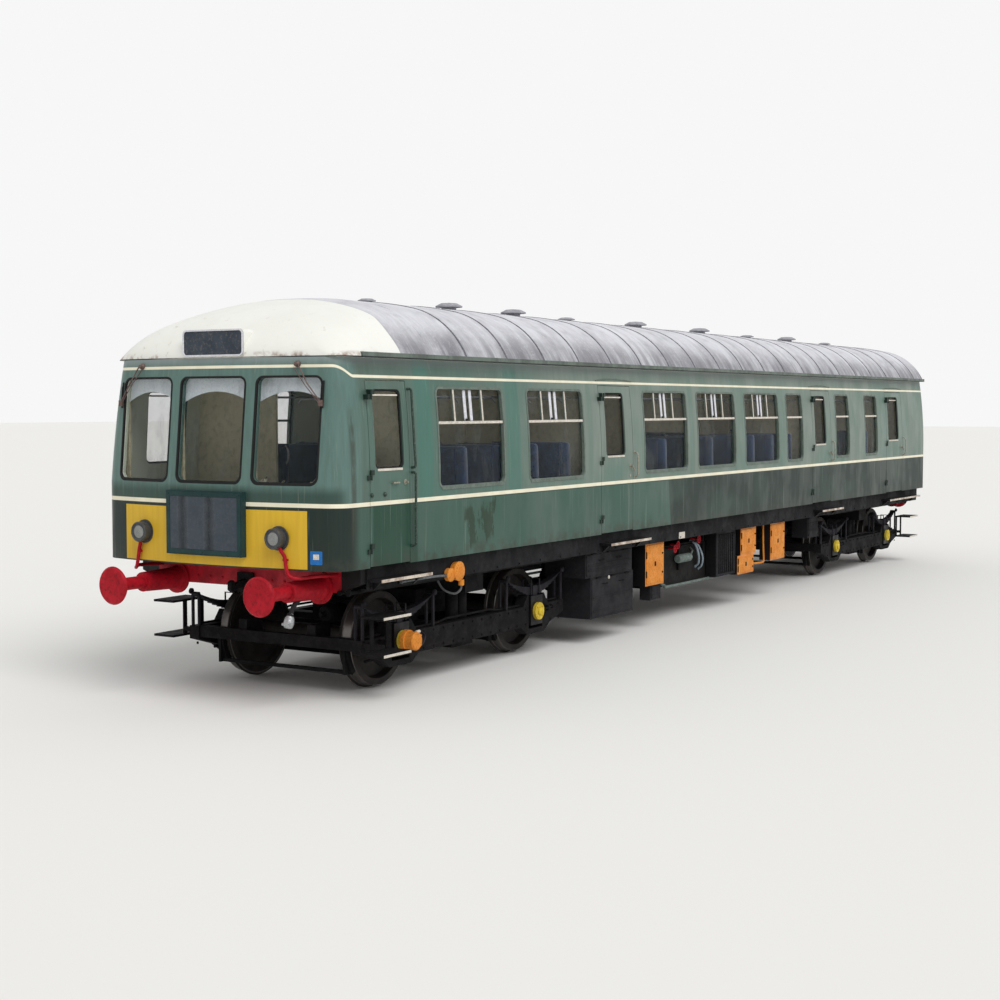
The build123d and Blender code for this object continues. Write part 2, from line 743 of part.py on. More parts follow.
for number, x in enumerate(pivot_x):
    end_name = ("front", "rear")[number]
    outward = (-1, 1)[number]
    axles = (x - wheelbase / 2, x + wheelbase / 2)
    bar_face = end_bar_x - end_bar_half - wheelbase / 2
    save(f"bogie_frame_{end_name}", bogie_frame(x))
    save(f"bogie_bolster_{end_name}", bogie_bolster(x))
    save(f"axleboxes_{end_name}", *[axlebox(axle, sign) for axle in axles for sign in (-1, 1)])
    save(f"leaf_springs_{end_name}", *[leaf_spring(axle, sign) for axle in axles for sign in (-1, 1)])
    save(f"bogie_steps_{end_name}", *footsteps(x, outward))
    save(f"brake_gear_{end_name}", brake(axles[0], -1, bar_face), brake(axles[0], 1, 0),
         brake(axles[1], -1, 0), brake(axles[1], 1, bar_face))
    save(f"wheelset_{2 * number + 1}", wheelset(axles[0]))
    save(f"wheelset_{2 * number + 2}", wheelset(axles[1]))

# Axle end generator of the speedometer on the first axle, near side
generator_base = 104
generator_radius = 88
generator_steps = (45, 145)  # depths of its base and of its whole
gland_radius = 13
gland_length = 60
generator_x = pivot_x[0] - wheelbase / 2
generator_y = box_y[1] + cover_depth
profile = [(0, 0), (generator_base, 0), (generator_base, generator_steps[0]), (generator_radius, generator_steps[0]),
           (generator_radius, generator_steps[1] - 15), (generator_radius - 15, generator_steps[1]),
           (0, generator_steps[1])]
generator = revolve(Plane.XY * make_face(Polyline(*profile, close=True)), Axis.Y)
for height in (-50, 40):
    gland = Pos(generator_radius - 25 + gland_length / 2, 95, height) * Rot(0, 90, 0)
    generator += gland * Cylinder(gland_radius, gland_length)
generator = Pos(generator_x, -generator_y, axle_z) * mirror(generator, Plane.XZ)
save("axle_generator", generator)

# Equipment under the floor, all hung from the solebars and the floor
hanger = 80                  # square of an engine hanger
hanger_place = 250           # from each end of an engine
engine_low = rail + 420
engine_high = rail + 900
# Each engine: distance behind the bow, length, near and far edge in Y
engines = [(7150, 1900, -1100, -260), (9350, 1900, 260, 1100)]
engine_solids = []
for start, length, y0, y1 in engines:
    x = station(start)
    engine = block((x, x + length), (y0, y1), (engine_low, engine_high))
    for place in (x + hanger_place, x + length - hanger_place):
        for y in (y0 + hanger, y1 - hanger):
            engine += block((place - hanger / 2, place + hanger / 2), (y - hanger / 2, y + hanger / 2),
                            (engine_high - tuck, floor_low))
    engine_solids.append(engine)
save("engines", *engine_solids)

# Boxes by node: distance behind the bow, length, outer and inner edge off the middle line,
# low and high above the rail, side. A negative length runs towards the cab.
boxes = {
    "battery_box": [(5240, 1070, 1270, 700, 270, 750, -1), (5085, 1165, 1285, 760, 750, 1035, -1)],
    "fuel_tank": [(5300, 1500, 1250, 600, 430, 1035, 1)],
    "control_boxes": [(6620, 510, 1285, 1120, 515, 1035, -1), (9560, 540, 1285, 1120, 660, 1035, -1),
                      (9450, 570, 1285, 1120, 405, 660, -1), (10640, 545, 1285, 1120, 505, 1035, -1)],
    "radiators": [(9430, -640, 1250, 1110, 430, 1035, -1), (9340, -640, 1250, 1110, 430, 1035, 1)],
}
box_hanger = 50              # width of a box's hanger
tank_radius = 60
slat_pitch = 42              # louvres of the radiators
slat_height = 16
slat_depth = 30
slat_margin = 50
for name, rows in boxes.items():
    pieces = []
    for start, length, outer, near, low, high, sign in rows:
        y = across(sign, near, outer)
        x = sorted((station(start), station(start) + length))
        piece = block(x, y, (rail + low, rail + high))
        if name == "fuel_tank":
            piece = fillet(piece.edges().filter_by(Axis.X), tank_radius)
        if name == "radiators":
            count = int((high - low - 2 * slat_margin) / slat_pitch)
            for number in range(count + 1):
                z = rail + low + slat_margin + number * slat_pitch
                piece -= block((x[0] + slat_margin, x[1] - slat_margin), across(sign, outer - slat_depth, outer + 1),
                               (z, z + slat_height))
        if outer < solebar_outer - solebar_flange:
            for place in (x[0] + hanger, x[1] - hanger):
                piece += block((place - hanger / 2, place + hanger / 2),
                               (sum(y) / 2 - box_hanger / 2, sum(y) / 2 + box_hanger / 2),
                               (rail + high - tuck, floor_low))
        pieces.append(piece)
    save(name, joined(pieces))

# Air reservoirs lie along the car on straps from the floor: distance behind the bow, length, Y
reservoirs = [(11600, 900, -700), (12050, 900, 700), (7150, 1000, 750)]
reservoir_radius = 150
reservoir_end = 70           # rounding of a reservoir's ends
reservoir_z = rail + 820
tanks = []
for start, length, y in reservoirs:
    tank = Cylinder(reservoir_radius, length)
    tank = fillet(tank.edges().filter_by(GeomType.CIRCLE), reservoir_end)
    tank = Pos(station(start) + length / 2, y, reservoir_z) * Rot(0, 90, 0) * tank
    for place in (station(start) + length * 0.2, station(start) + length * 0.8):
        tank += block((place - 25, place + 25), (y - 30, y + 30), (reservoir_z, floor_low))
    tanks.append(tank)
save("air_reservoirs", *tanks)

# Step boards under the doors: distance behind the bow, length
step_boards = [(860, 820), (5330, 1030), (12220, 930), (15460, 1680)]
board_outer = 1490
board_top = rail + 1140
board_thickness = 28
bracket_depth = 110
bracket_half = 12
bracket_place = 90           # from each end of a board
boards = []
for sign in (-1, 1):
    for start, length in step_boards:
        x = (station(start), station(start) + length)
        board = block(x, across(sign, solebar_outer, board_outer), (board_top - board_thickness, board_top))
        for place in (x[0] + bracket_place, x[1] - bracket_place):
            bracket = [(sign * solebar_outer, board_top - tuck), (sign * (board_outer - 40), board_top - tuck),
                       (sign * solebar_outer, board_top - bracket_depth)]
            board += end_plate(bracket, (place - bracket_half, place + bracket_half))
        boards.append(board)
save("step_boards", *boards)

# Handrails behind the cab doors, each a bent tube: from and to above the rail
grab_rails = [(1405, 2085), (2130, 2855)]
grab_place = 1452
grab_radius = 12
grab_out = 48                # middle of the tube off the panels
grab_bend = 25
rails = []
for sign in (-1, 1):
    for low, high in grab_rails:
        x = station(grab_place)
        ends = [(half - lean(rail + height), rail + height) for height in (low, high)]
        path = FilletPolyline(*[(x, sign * (y + out), z) for (y, z), out in zip(
            [ends[0], ends[0], ends[1], ends[1]], (0, grab_out, grab_out, 0))], radius=grab_bend)
        rail_tube = sweep(Plane(origin=path @ 0, z_dir=path % 0) * Circle(grab_radius), path)
        rails.append(rail_tube - side_skin(sign, (x - grab_out, x + grab_out), (inner, half), (body_bottom, cant)))
save("grab_rails", *rails)

# Inside: cab bulkhead and vestibule screens, seats, driver's desk and seat
aisle_half = 330
screen_thickness = 30
screens = []
for distance in (1620, 5100, 6180, 11780, 12880, 15200, 16480):
    x = station(distance)
    for sign in (-1, 1):
        screens.append(side_skin(sign, (x, x + screen_thickness), (aisle_half, inner), (floor_top, cant), True))
save("screens", *screens)

seat_width = 1000
seat_depth = 480
seat_base = floor_top + 300  # underside of the cushions
cushion_thickness = 130
back_top = floor_top + 1080
back_thickness = 110
back_slope = 35              # a back is thinner by this at its top
leg_thickness = 30
seat_pitch = 700
# Seat bays: distance of the first and the last seat back behind the bow
seat_bays = [(1760, 4560), (6320, 11240), (13000, 14660)]
driver_place = 1180
driver_y = -780
driver_half = 235
driver_pedestal = 60
driver_base = floor_top + 400
driver_cushion = 90


def seat_back(x, y):
    """A back with an upright foot, a sloping front and a rounded top."""
    round_z = back_top - back_slope
    front_x = x + back_thickness - back_slope
    outline = [
        Line((x, seat_base), (x + back_thickness, seat_base)),
        Line((x + back_thickness, seat_base), (x + back_thickness, seat_base + cushion_thickness)),
        Line((x + back_thickness, seat_base + cushion_thickness), (front_x, round_z)),
        ThreePointArc((front_x, round_z), ((front_x + x) / 2, back_top), (x, round_z)),
        Line((x, round_z), (x, seat_base)),
    ]
    return side_sheet(make_face(outline), y)


def seat_cushion(x, y):
    """A cushion with a rounded front edge."""
    back, nose = x + back_thickness, x + seat_depth
    top = seat_base + cushion_thickness
    outline = [
        Line((back, seat_base), (nose, seat_base)),
        ThreePointArc((nose, seat_base), (nose + cushion_thickness / 3, (seat_base + top) / 2), (nose, top)),
        Line((nose, top), (back, top)),
        Line((back, top), (back, seat_base)),
    ]
    return side_sheet(make_face(outline), y)


backs, cushions, legs = [], [], []
for first, last in seat_bays:
    rows = 1 + round((last - first) / seat_pitch)
    for row in range(rows):
        x = station(first + (last - first) * row / (rows - 1))
        for sign in (-1, 1):
            y = across(sign, inner - seat_width, inner - lean(back_top))
            leg_y = across(sign, inner - seat_width, inner - seat_width + leg_thickness)
            backs.append(seat_back(x, y))
            cushions.append(seat_cushion(x, y))
            legs.append(side_plate([(x, seat_base), (x + 60, floor_top), (x + seat_depth - 110, floor_top),
                                    (x + seat_depth - 30, seat_base)], leg_y))
x = station(driver_place)
legs.append(Pos(x, driver_y, (floor_top + driver_base) / 2) * Cylinder(driver_pedestal, driver_base - floor_top))
cushions.append(block((x - driver_half, x + driver_half), (driver_y - driver_half, driver_y + driver_half),
                      (driver_base, driver_base + driver_cushion)))
backs.append(block((x + driver_half - 80, x + driver_half), (driver_y - driver_half, driver_y + driver_half),
                   (driver_base + driver_cushion, floor_top + 1000)))
save("seat_backs", *backs)
save("seat_cushions", *cushions)
save("seat_legs", *legs)

desk_back = 520              # behind the bow
desk_high = rail + 1960
knee_depth = 230
knee_y = (-inner + 150, -300)
desk_top = 90
desk = extrude(bow_face(bow_x + wall, inner, bow_radius - wall, corner_radius - wall, bow_x + desk_back, floor_top),
               desk_high - floor_top)
desk -= block((bow_x + desk_back - knee_depth, bow_x + desk_back + 1), knee_y, (floor_top - 1, desk_high - desk_top))
save("cab_desk", desk)

# Glazing in its openings, each pane as one solid, and the alloy frames outside the side panes
pane = 6
pane_inset = 28              # outer face of the glass behind the panels
pane_fit = 0.2
frame_face = 24              # width of a frame round its pane
frame_proud = 4
bar_half = 12                # half the width of a transom or mullion
bar_inset = 8                # bars behind the panels
transom_z = rail + 2538
wide_window = 1000           # wider windows have sliding toplights between two mullions
mullions = (-290, 220)       # off the window's middle
panes = []
frames = []
for sign in (-1, 1):
    for start, width in side_windows:
        x = (station(start) + pane_fit, station(start) + width - pane_fit)
        z = (window_low + pane_fit, window_high - pane_fit)
        deep = across(sign, cant_inner, half + wall)
        hole = side_hole(x, z, window_radius, deep)
        panes.append(side_skin(sign, x, (half - pane_inset - pane, half - pane_inset), z) & hole)
        frame = side_skin(sign, x, (half - pane_inset, half + frame_proud), z) & hole
        frame -= side_hole((x[0] + frame_face, x[1] - frame_face), (z[0] + frame_face, z[1] - frame_face),
                           window_radius - frame_face, deep)
        bar_y = (half - pane_inset, half - bar_inset)
        frame += side_skin(sign, (x[0] + tuck, x[1] - tuck), bar_y, (transom_z - bar_half, transom_z + bar_half))
        if width > wide_window:
            for offset in mullions:
                middle = sum(x) / 2 + offset
                frame += side_skin(sign, (middle - bar_half, middle + bar_half), bar_y, (transom_z, z[1] - tuck))
        frames.append(frame)
shell_core = front_layer(pane_inset) - front_layer(pane_inset + pane)
for y in front_windows[1:]:
    hole = end_hole((y[0] + pane_fit, y[1] - pane_fit), (front_window_low + pane_fit, front_window_high - pane_fit),
                    front_window_radius, front_hole_x)
    panes.append(shell_core & hole)
panes.append(mirror(panes[-1], Plane.XZ))
save("glazing", *panes)
save("window_frames", *frames)

# Ventilators on the middle line of the roof: distance behind the bow, radius, height
ventilators = [(2700, 95, 55), (4250, 150, 95), (5650, 150, 95), (6950, 110, 60), (8900, 150, 95),
               (11000, 150, 95), (12800, 110, 60), (14500, 150, 95), (16300, 110, 60)]
vent_foot = 12               # a ventilator's neck runs this far below the roof's top line
vents = []
for distance, radius, height in ventilators:
    profile = [(0, -vent_foot), (radius * 0.55, -vent_foot), (radius * 0.55, height * 0.45),
               (radius, height * 0.45), (radius, height * 0.6), (radius * 0.6, height * 0.92), (0, height)]
    face = Plane.XZ * make_face(Polyline(*profile, close=True))
    vent = Pos(station(distance), 0, roof_top) * revolve(face, Axis.Z)
    vents.append(vent - roof_solid(roof_x))
save("roof_vents", *vents)

# Cab front fittings: route box under the windows, marker lamps beside it, destination box in the dome
route_half = 450
route_z = (rail + 1345, rail + 1930)
route_out = 60
lamp_y = 800
lamp_z = rail + 1528
lamp_radius = 88
lamp_out = 90
display_half = 360
display_z = (rail + 3146, rail + 3392)
display_front = 105          # behind the bow
display_depth = 400
display_radius = 45
route_box = front_layer(-route_out) & block((bow_x - route_out, bow_surface(route_half) + 1),
                                            (-route_half, route_half), route_z)
save("route_box", route_box - front_layer(0))
lamps = []
for y in (-lamp_y, lamp_y):
    lamp = Pos(bow_surface(lamp_y), y, lamp_z) * Rot(0, 90, 0) * Cylinder(lamp_radius, 2 * lamp_out)
    lamps.append(lamp - front_layer(0))
save("marker_lamps", *lamps)
display = block((bow_x + display_front, bow_x + display_front + display_depth), (-display_half, display_half),
                display_z)
display = fillet(display.edges().filter_by(Axis.X), display_radius)
save("destination_box", display - dome_solid(0))
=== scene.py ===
import bpy
import bmesh
import math
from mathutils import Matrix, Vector


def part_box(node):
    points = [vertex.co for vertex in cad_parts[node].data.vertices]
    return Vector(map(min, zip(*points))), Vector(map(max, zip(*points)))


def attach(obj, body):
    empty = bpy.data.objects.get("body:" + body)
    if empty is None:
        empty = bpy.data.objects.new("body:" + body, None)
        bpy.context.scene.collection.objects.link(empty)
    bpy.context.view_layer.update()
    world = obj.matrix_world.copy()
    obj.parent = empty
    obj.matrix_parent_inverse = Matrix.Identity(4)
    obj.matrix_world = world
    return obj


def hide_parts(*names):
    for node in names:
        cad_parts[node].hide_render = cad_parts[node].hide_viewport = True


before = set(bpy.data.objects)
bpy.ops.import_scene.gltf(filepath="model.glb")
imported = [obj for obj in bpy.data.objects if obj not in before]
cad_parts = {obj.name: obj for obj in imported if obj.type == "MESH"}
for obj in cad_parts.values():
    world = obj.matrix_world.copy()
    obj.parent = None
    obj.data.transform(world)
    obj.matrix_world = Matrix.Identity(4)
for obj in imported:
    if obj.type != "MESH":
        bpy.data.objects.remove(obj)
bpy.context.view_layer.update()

# The driving power car of a two-car railcar set. X runs along it with the cab at -X, near side at -Y.
# Places along the car are metres behind a line just ahead of the bow, heights are above the rail.
coach = {
    "railTop": 0.028,
    "half": 1.41,             # half the width over the panels
    "leanStart": 2.008,       # the sides lean in above this
    "leanRadius": 7.5,
    "bowRadius": 6.5,         # of the cab front in plan
    "cornerRadius": 0.2,
    "frontRake": 0.115,
    "placeStart": 0.22,       # where places along the car begin, ahead of the bow
    "roofHalf": 1.395,
    "crownRadius": 3.39,
    "crownHalf": 0.755,
    "shoulderRadius": 0.917,
    "waistLine": 1.824,       # the lower cream line
    "upperLine": 2.962,       # the upper cream line along the sides
    "frontLine": 3.05,        # and where it runs across the front
}
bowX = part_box("cab_front")[0].x
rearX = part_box("rear_wall")[1].x
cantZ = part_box("roof")[0].z
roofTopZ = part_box("roof")[1].z


def along(place):
    return bowX + place - coach["placeStart"]


def up(height):
    return height + coach["railTop"]


def at(place, y, height):      # a point from its place along the car and its height above the rail
    return Vector((along(place), y, up(height)))


def grown(span, by):           # a span made longer at both ends
    return span[0] - by, span[1] + by


def about(middle, half):
    return middle - half, middle + half


def spread(first, last, count):   # evenly spaced values with both ends
    return [first + (last - first) * number / (count - 1) for number in range(count)]


def leanAt(z):            # how far the sides stand in at a height
    rise = max(z - coach["leanStart"], 0)
    return coach["leanRadius"] - math.sqrt(coach["leanRadius"] ** 2 - rise ** 2)


def frontAt(y, z):        # x of the cab front's skin
    flat = coach["half"] - coach["cornerRadius"]
    reach = min(abs(y), coach["half"])
    x = bowX + coach["bowRadius"] - math.sqrt(coach["bowRadius"] ** 2 - reach ** 2)
    x += coach["frontRake"] * max(z - coach["leanStart"], 0) / (cantZ - coach["leanStart"])
    if reach > flat:
        x += coach["cornerRadius"] - math.sqrt(max(coach["cornerRadius"] ** 2 - (reach - flat) ** 2, 0))
    return x


def onSide(side):         # (along, up, out) on a side of the car to a point
    def place(x, z, out):
        return Vector((x, side * (coach["half"] - leanAt(z) + out), z))
    return place


def onFront(y, z, out):   # (across, up, out) on the cab front to a point
    return Vector((frontAt(y, z) - out, y, z))


def onEnd(x):             # (across, up, out) on a flat end wall that looks along +X
    def place(y, z, out):
        return Vector((x + out, y, z))
    return place


def roofAt(share):        # a point of the roof's section, -1 at the near gutter and 1 at the far one
    crownAngle = math.asin(coach["crownHalf"] / coach["crownRadius"])
    gap = coach["crownRadius"] - coach["shoulderRadius"]
    shoulderY = gap * math.sin(crownAngle)
    endAngle = math.asin((coach["roofHalf"] - shoulderY) / coach["shoulderRadius"])
    crownRun = coach["crownRadius"] * crownAngle
    run = abs(share) * (crownRun + coach["shoulderRadius"] * (endAngle - crownAngle))
    crownZ = roofTopZ - coach["crownRadius"]
    side = 1 if share >= 0 else -1
    if run < crownRun:
        angle = run / coach["crownRadius"]
        y, z = coach["crownRadius"] * math.sin(angle), crownZ + coach["crownRadius"] * math.cos(angle)
    else:
        angle = crownAngle + (run - crownRun) / coach["shoulderRadius"]
        y = shoulderY + coach["shoulderRadius"] * math.sin(angle)
        z = crownZ + gap * math.cos(crownAngle) + coach["shoulderRadius"] * math.cos(angle)
    return side * y, z, angle


# Shapes: each function adds to one mesh, in metres in the car's own frame

def addBox(shape, x, y, z):
    corners = [shape.verts.new((a, b, c)) for a in sorted(x) for b in sorted(y) for c in sorted(z)]
    for loop in ((0, 1, 3, 2), (4, 6, 7, 5), (0, 4, 5, 1), (2, 3, 7, 6), (0, 2, 6, 4), (1, 5, 7, 3)):
        shape.faces.new([corners[number] for number in loop])


def addRows(shape, rows):     # joins closed rows of corners to a skin with two flat ends
    shape.faces.new(rows[0][::-1])
    shape.faces.new(rows[-1])
    for row, following in zip(rows, rows[1:]):
        for number in range(len(row)):
            after = (number + 1) % len(row)
            shape.faces.new((row[number], row[after], following[after], following[number]))


def circle(shape, centre, radius, side, other, count):
    turns = [2 * math.pi * number / count for number in range(count)]
    return [shape.verts.new(centre + radius * (math.cos(turn) * side + math.sin(turn) * other))
            for turn in turns]


def addTube(shape, points, radius, sides=10):
    points = [Vector(point) for point in points]
    rings = []
    normal = None
    for number, point in enumerate(points):
        way = (points[min(number + 1, len(points) - 1)] - points[max(number - 1, 0)]).normalized()
        if normal is None:
            normal = way.orthogonal().normalized()
        normal = (normal - way * normal.dot(way)).normalized()
        rings.append(circle(shape, point, radius, normal, way.cross(normal), sides))
    addRows(shape, rings)


def curvy(points, steps=6):   # a smooth line through the points
    points = [Vector(point) for point in points]
    line = []
    for number in range(len(points) - 1):
        a = points[max(number - 1, 0)]
        b, c = points[number], points[number + 1]
        d = points[min(number + 2, len(points) - 1)]
        for part in range(steps):
            t = part / steps
            line.append(0.5 * (2 * b + (c - a) * t + (2 * a - 5 * b + 4 * c - d) * t ** 2
                               + (3 * b - a - 3 * c + d) * t ** 3))
    return line + [points[-1]]


def addTurned(shape, profile, place, axis, steps=24):   # profile rows: radius, distance along the axis
    axis = Vector(axis).normalized()
    side = axis.orthogonal().normalized()
    rings = []
    for radius, distance in profile:
        centre = Vector(place) + axis * distance
        if radius < 1e-5:
            rings.append([shape.verts.new(centre)])
        else:
            rings.append(circle(shape, centre, radius, side, axis.cross(side), steps))
    for ring, following in zip(rings, rings[1:]):
        for number in range(steps):
            after = (number + 1) % steps
            if len(ring) == 1:
                corners = (ring[0], following[after], following[number])
            elif len(following) == 1:
                corners = (ring[number], ring[after], following[0])
            else:
                corners = (ring[number], ring[after], following[after], following[number])
            shape.faces.new(corners)
    for ring in (rings[0], rings[-1]):
        if len(ring) > 1:
            shape.faces.new(ring)


def rounded(a, b, radius, steps=6, runs=1):   # outline of a rectangle with round corners, spans a and b
    outline = []
    for cornerA, cornerB, turn in ((a[1], b[1], 0), (a[0], b[1], 1), (a[0], b[0], 2), (a[1], b[0], 3)):
        centreA = cornerA - radius if turn in (0, 3) else cornerA + radius
        centreB = cornerB - radius if turn in (0, 1) else cornerB + radius
        for part in range(steps + 1):
            angle = (turn + part / steps) * math.pi / 2
            outline.append((centreA + radius * math.cos(angle), centreB + radius * math.sin(angle)))
    finer = []
    for number, (first, second) in enumerate(outline):   # straight sides in parts, to follow a bowed surface
        finer.append((first, second))
        if number % (steps + 1) == steps:
            after = outline[(number + 1) % len(outline)]
            finer += [(first + (after[0] - first) * part / runs, second + (after[1] - second) * part / runs)
                      for part in range(1, runs)]
    return finer


def addPanel(shape, place, outline, low, high, hole=None):   # a plate or a ring on one of the car's surfaces
    rings = [[shape.verts.new(place(a, b, out)) for a, b in outline] for out in (low, high)]
    if hole is None:
        addRows(shape, rings)
        return
    rings += [[shape.verts.new(place(a, b, out)) for a, b in hole] for out in (high, low)]
    for number in range(len(outline)):
        after = (number + 1) % len(outline)
        for ring, following in zip(rings, rings[1:] + rings[:1]):
            shape.faces.new((ring[number], ring[after], following[after], following[number]))


def addPlate(shape, place, a, b, radius, low, high, steps=2):   # a flat bar or plate with round corners
    addPanel(shape, place, rounded(a, b, radius, steps), low, high)


def addBolt(shape, place, axis, radius=0.012, height=0.012):    # a hexagon head on its washer
    addTurned(shape, [(radius * 1.5, 0), (radius * 1.5, height * 0.25)], place, axis, 12)
    head = [(radius, height * 0.2), (radius, height), (radius * 0.7, height * 1.15)]
    addTurned(shape, head, place, axis, 6)


def addBoltRing(shape, centre, axis, reach, count, start, radius, height):   # start: the first one's degrees
    for number in range(count):
        angle = math.radians(start + 360 * number / count)
        a, b = reach * math.cos(angle), reach * math.sin(angle)
        addBolt(shape, Vector(centre) + Vector((0, a, b) if axis[0] else (a, 0, b)), axis, radius, height)


def finishPiece(shape, name, finish, bevel=0, body="car_body", angle=35):
    bmesh.ops.recalc_face_normals(shape, faces=shape.faces)
    mesh = bpy.data.meshes.new(name)
    shape.to_mesh(mesh)
    shape.free()
    mesh.polygons.foreach_set("use_smooth", [True] * len(mesh.polygons))
    mesh.set_sharp_from_angle(angle=math.radians(angle))
    mesh.materials.append(finishes[finish])
    piece = bpy.data.objects.new(name, mesh)
    bpy.context.scene.collection.objects.link(piece)
    if bevel:
        edge = piece.modifiers.new("roundedEdges", "BEVEL")
        edge.width = bevel
        edge.segments = 2
        edge.limit_method = "ANGLE"
        edge.angle_limit = math.radians(40)
        edge.harden_normals = True
    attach(piece, body)
    return piece


# Materials: small helpers, then one function for each finish

def paintColor(red, green, blue):   # a colour as 0 to 255 on screen, to the values that a shader takes
    channels = []
    for value in (red, green, blue):
        share = value / 255
        channels.append(share / 12.92 if share <= 0.04045 else ((share + 0.055) / 1.055) ** 2.4)
    return (*channels, 1.0)


def paintColors(look):      # the colours among a dictionary's values
    return {key: paintColor(*value) for key, value in look.items()
            if isinstance(value, tuple) and len(value) == 3}


def plug(tree, made, plugs):      # joins sockets and sets plain values
    for key, value in plugs.items():
        if isinstance(value, bpy.types.NodeSocket):
            tree.links.new(value, made.inputs[key])
        else:
            made.inputs[key].default_value = value


def put(tree, kind, plugs=None, **settings):
    made = tree.nodes.new("ShaderNode" + kind)
    for key, value in settings.items():
        setattr(made, key, value)
    plug(tree, made, plugs or {})
    return made


def calc(tree, operation, a, b=0.0, c=0.0):
    return put(tree, "Math", {0: a, 1: b, 2: c}, operation=operation).outputs[0]


def times(tree, a, b):
    return calc(tree, "MULTIPLY", a, b)


def parts(tree, value):
    return put(tree, "SeparateXYZ", {0: value}).outputs


def step(tree, value, low, high, start=0.0, end=1.0):   # smooth change from start to end as value rises
    plugs = {0: value, 1: low, 2: high, 3: start, 4: end}
    return put(tree, "MapRange", plugs, interpolation_type="SMOOTHSTEP").outputs[0]


def band(tree, value, low, high, soft=0.004):           # 1 between low and high
    rise = step(tree, value, low - soft, low + soft)
    fall = step(tree, value, high - soft, high + soft, 1.0, 0.0)
    return times(tree, rise, fall)


def mixed(tree, share, a, b):
    return put(tree, "Mix", {0: share, 6: a, 7: b}, data_type="RGBA").outputs[2]


def cloud(tree, point, size, stretch=(1, 1, 1), detail=4.0, rough=0.55, low=0.35, high=0.65):
    place = put(tree, "VectorMath", {0: point, 1: stretch}, operation="MULTIPLY").outputs[0]
    noise = put(tree, "TexNoise", {"Vector": place, "Scale": 1 / size, "Detail": detail, "Roughness": rough})
    return step(tree, noise.outputs[0], low, high)


def startFinish(name):
    finish = bpy.data.materials.new(name)
    finish.use_nodes = True
    tree = finish.node_tree
    point = put(tree, "TexCoord").outputs["Object"]
    return finish, tree, tree.nodes["Principled BSDF"], point


def addBump(tree, shader, height, strength, distance):
    bump = put(tree, "Bump", {"Strength": strength, "Distance": distance, "Height": height})
    tree.links.new(bump.outputs[0], shader.inputs["Normal"])


bodyLook = {
    "upper": (117, 130, 121),        # faded grey green above the waist
    "upperAhead": (84, 104, 95),     # darker towards the cab
    "upperTeal": (64, 110, 98),      # patches of the old colour
    "lower": (62, 88, 78),
    "lowerTeal": (52, 86, 74),
    "lowerPale": (78, 98, 90),
    "lowerRear": (24, 42, 36),
    "cabDoor": (24, 64, 49),
    "corner": (92, 121, 115),
    # painted shade: the lower cab front is near black green for the shade on it
    "frontLowPaintedShade": (18, 36, 31),
    "frontSill": (40, 64, 56),       # under the cab windows
    "hinge": (24, 40, 34),
    "cream": (238, 232, 208),
    "creamDirt": (206, 196, 166),
    "line": (30, 50, 42),            # thin dark line under the waist line
    "yellow": (216, 176, 46),
    "yellowWorn": (186, 142, 30),
    "moss": (28, 48, 30),
    "mossPale": (76, 98, 74),
    "lining": (208, 216, 200),       # inside of the walls
    "grime": (52, 54, 46),
    "paleStreak": (140, 152, 140),
    "underGutter": (156, 162, 164),
    "streakWidth": 0.05,
    "rough": (0.36, 0.52),
    # Places along the car: teal patches with their share, the cab door, the pale stain by the rear door
    "patches": [(1.57, 1.83, 0.9), (3.19, 3.46, 0.75), (4.93, 5.05, 0.25), (7.62, 7.76, 0.4),
                (9.16, 9.3, 0.25)],
    "cabDoorSpan": (0.84, 1.55),
    "rearFrom": 7.0,                 # the lower panels are dark from here, on a slant
    "rearSlant": 0.13,
    "stainSpan": (15.62, 16.3),
    "mossRuns": [(2.44, 2.53, 0.075), (2.71, 2.73, 0.05), (2.84, 2.81, 0.07)],   # top, bottom, half width
    "mossZ": (1.36, 1.72),
    "panelHalf": 1.08,               # the yellow panel
    "panelZ": (1.26, 1.775),
}


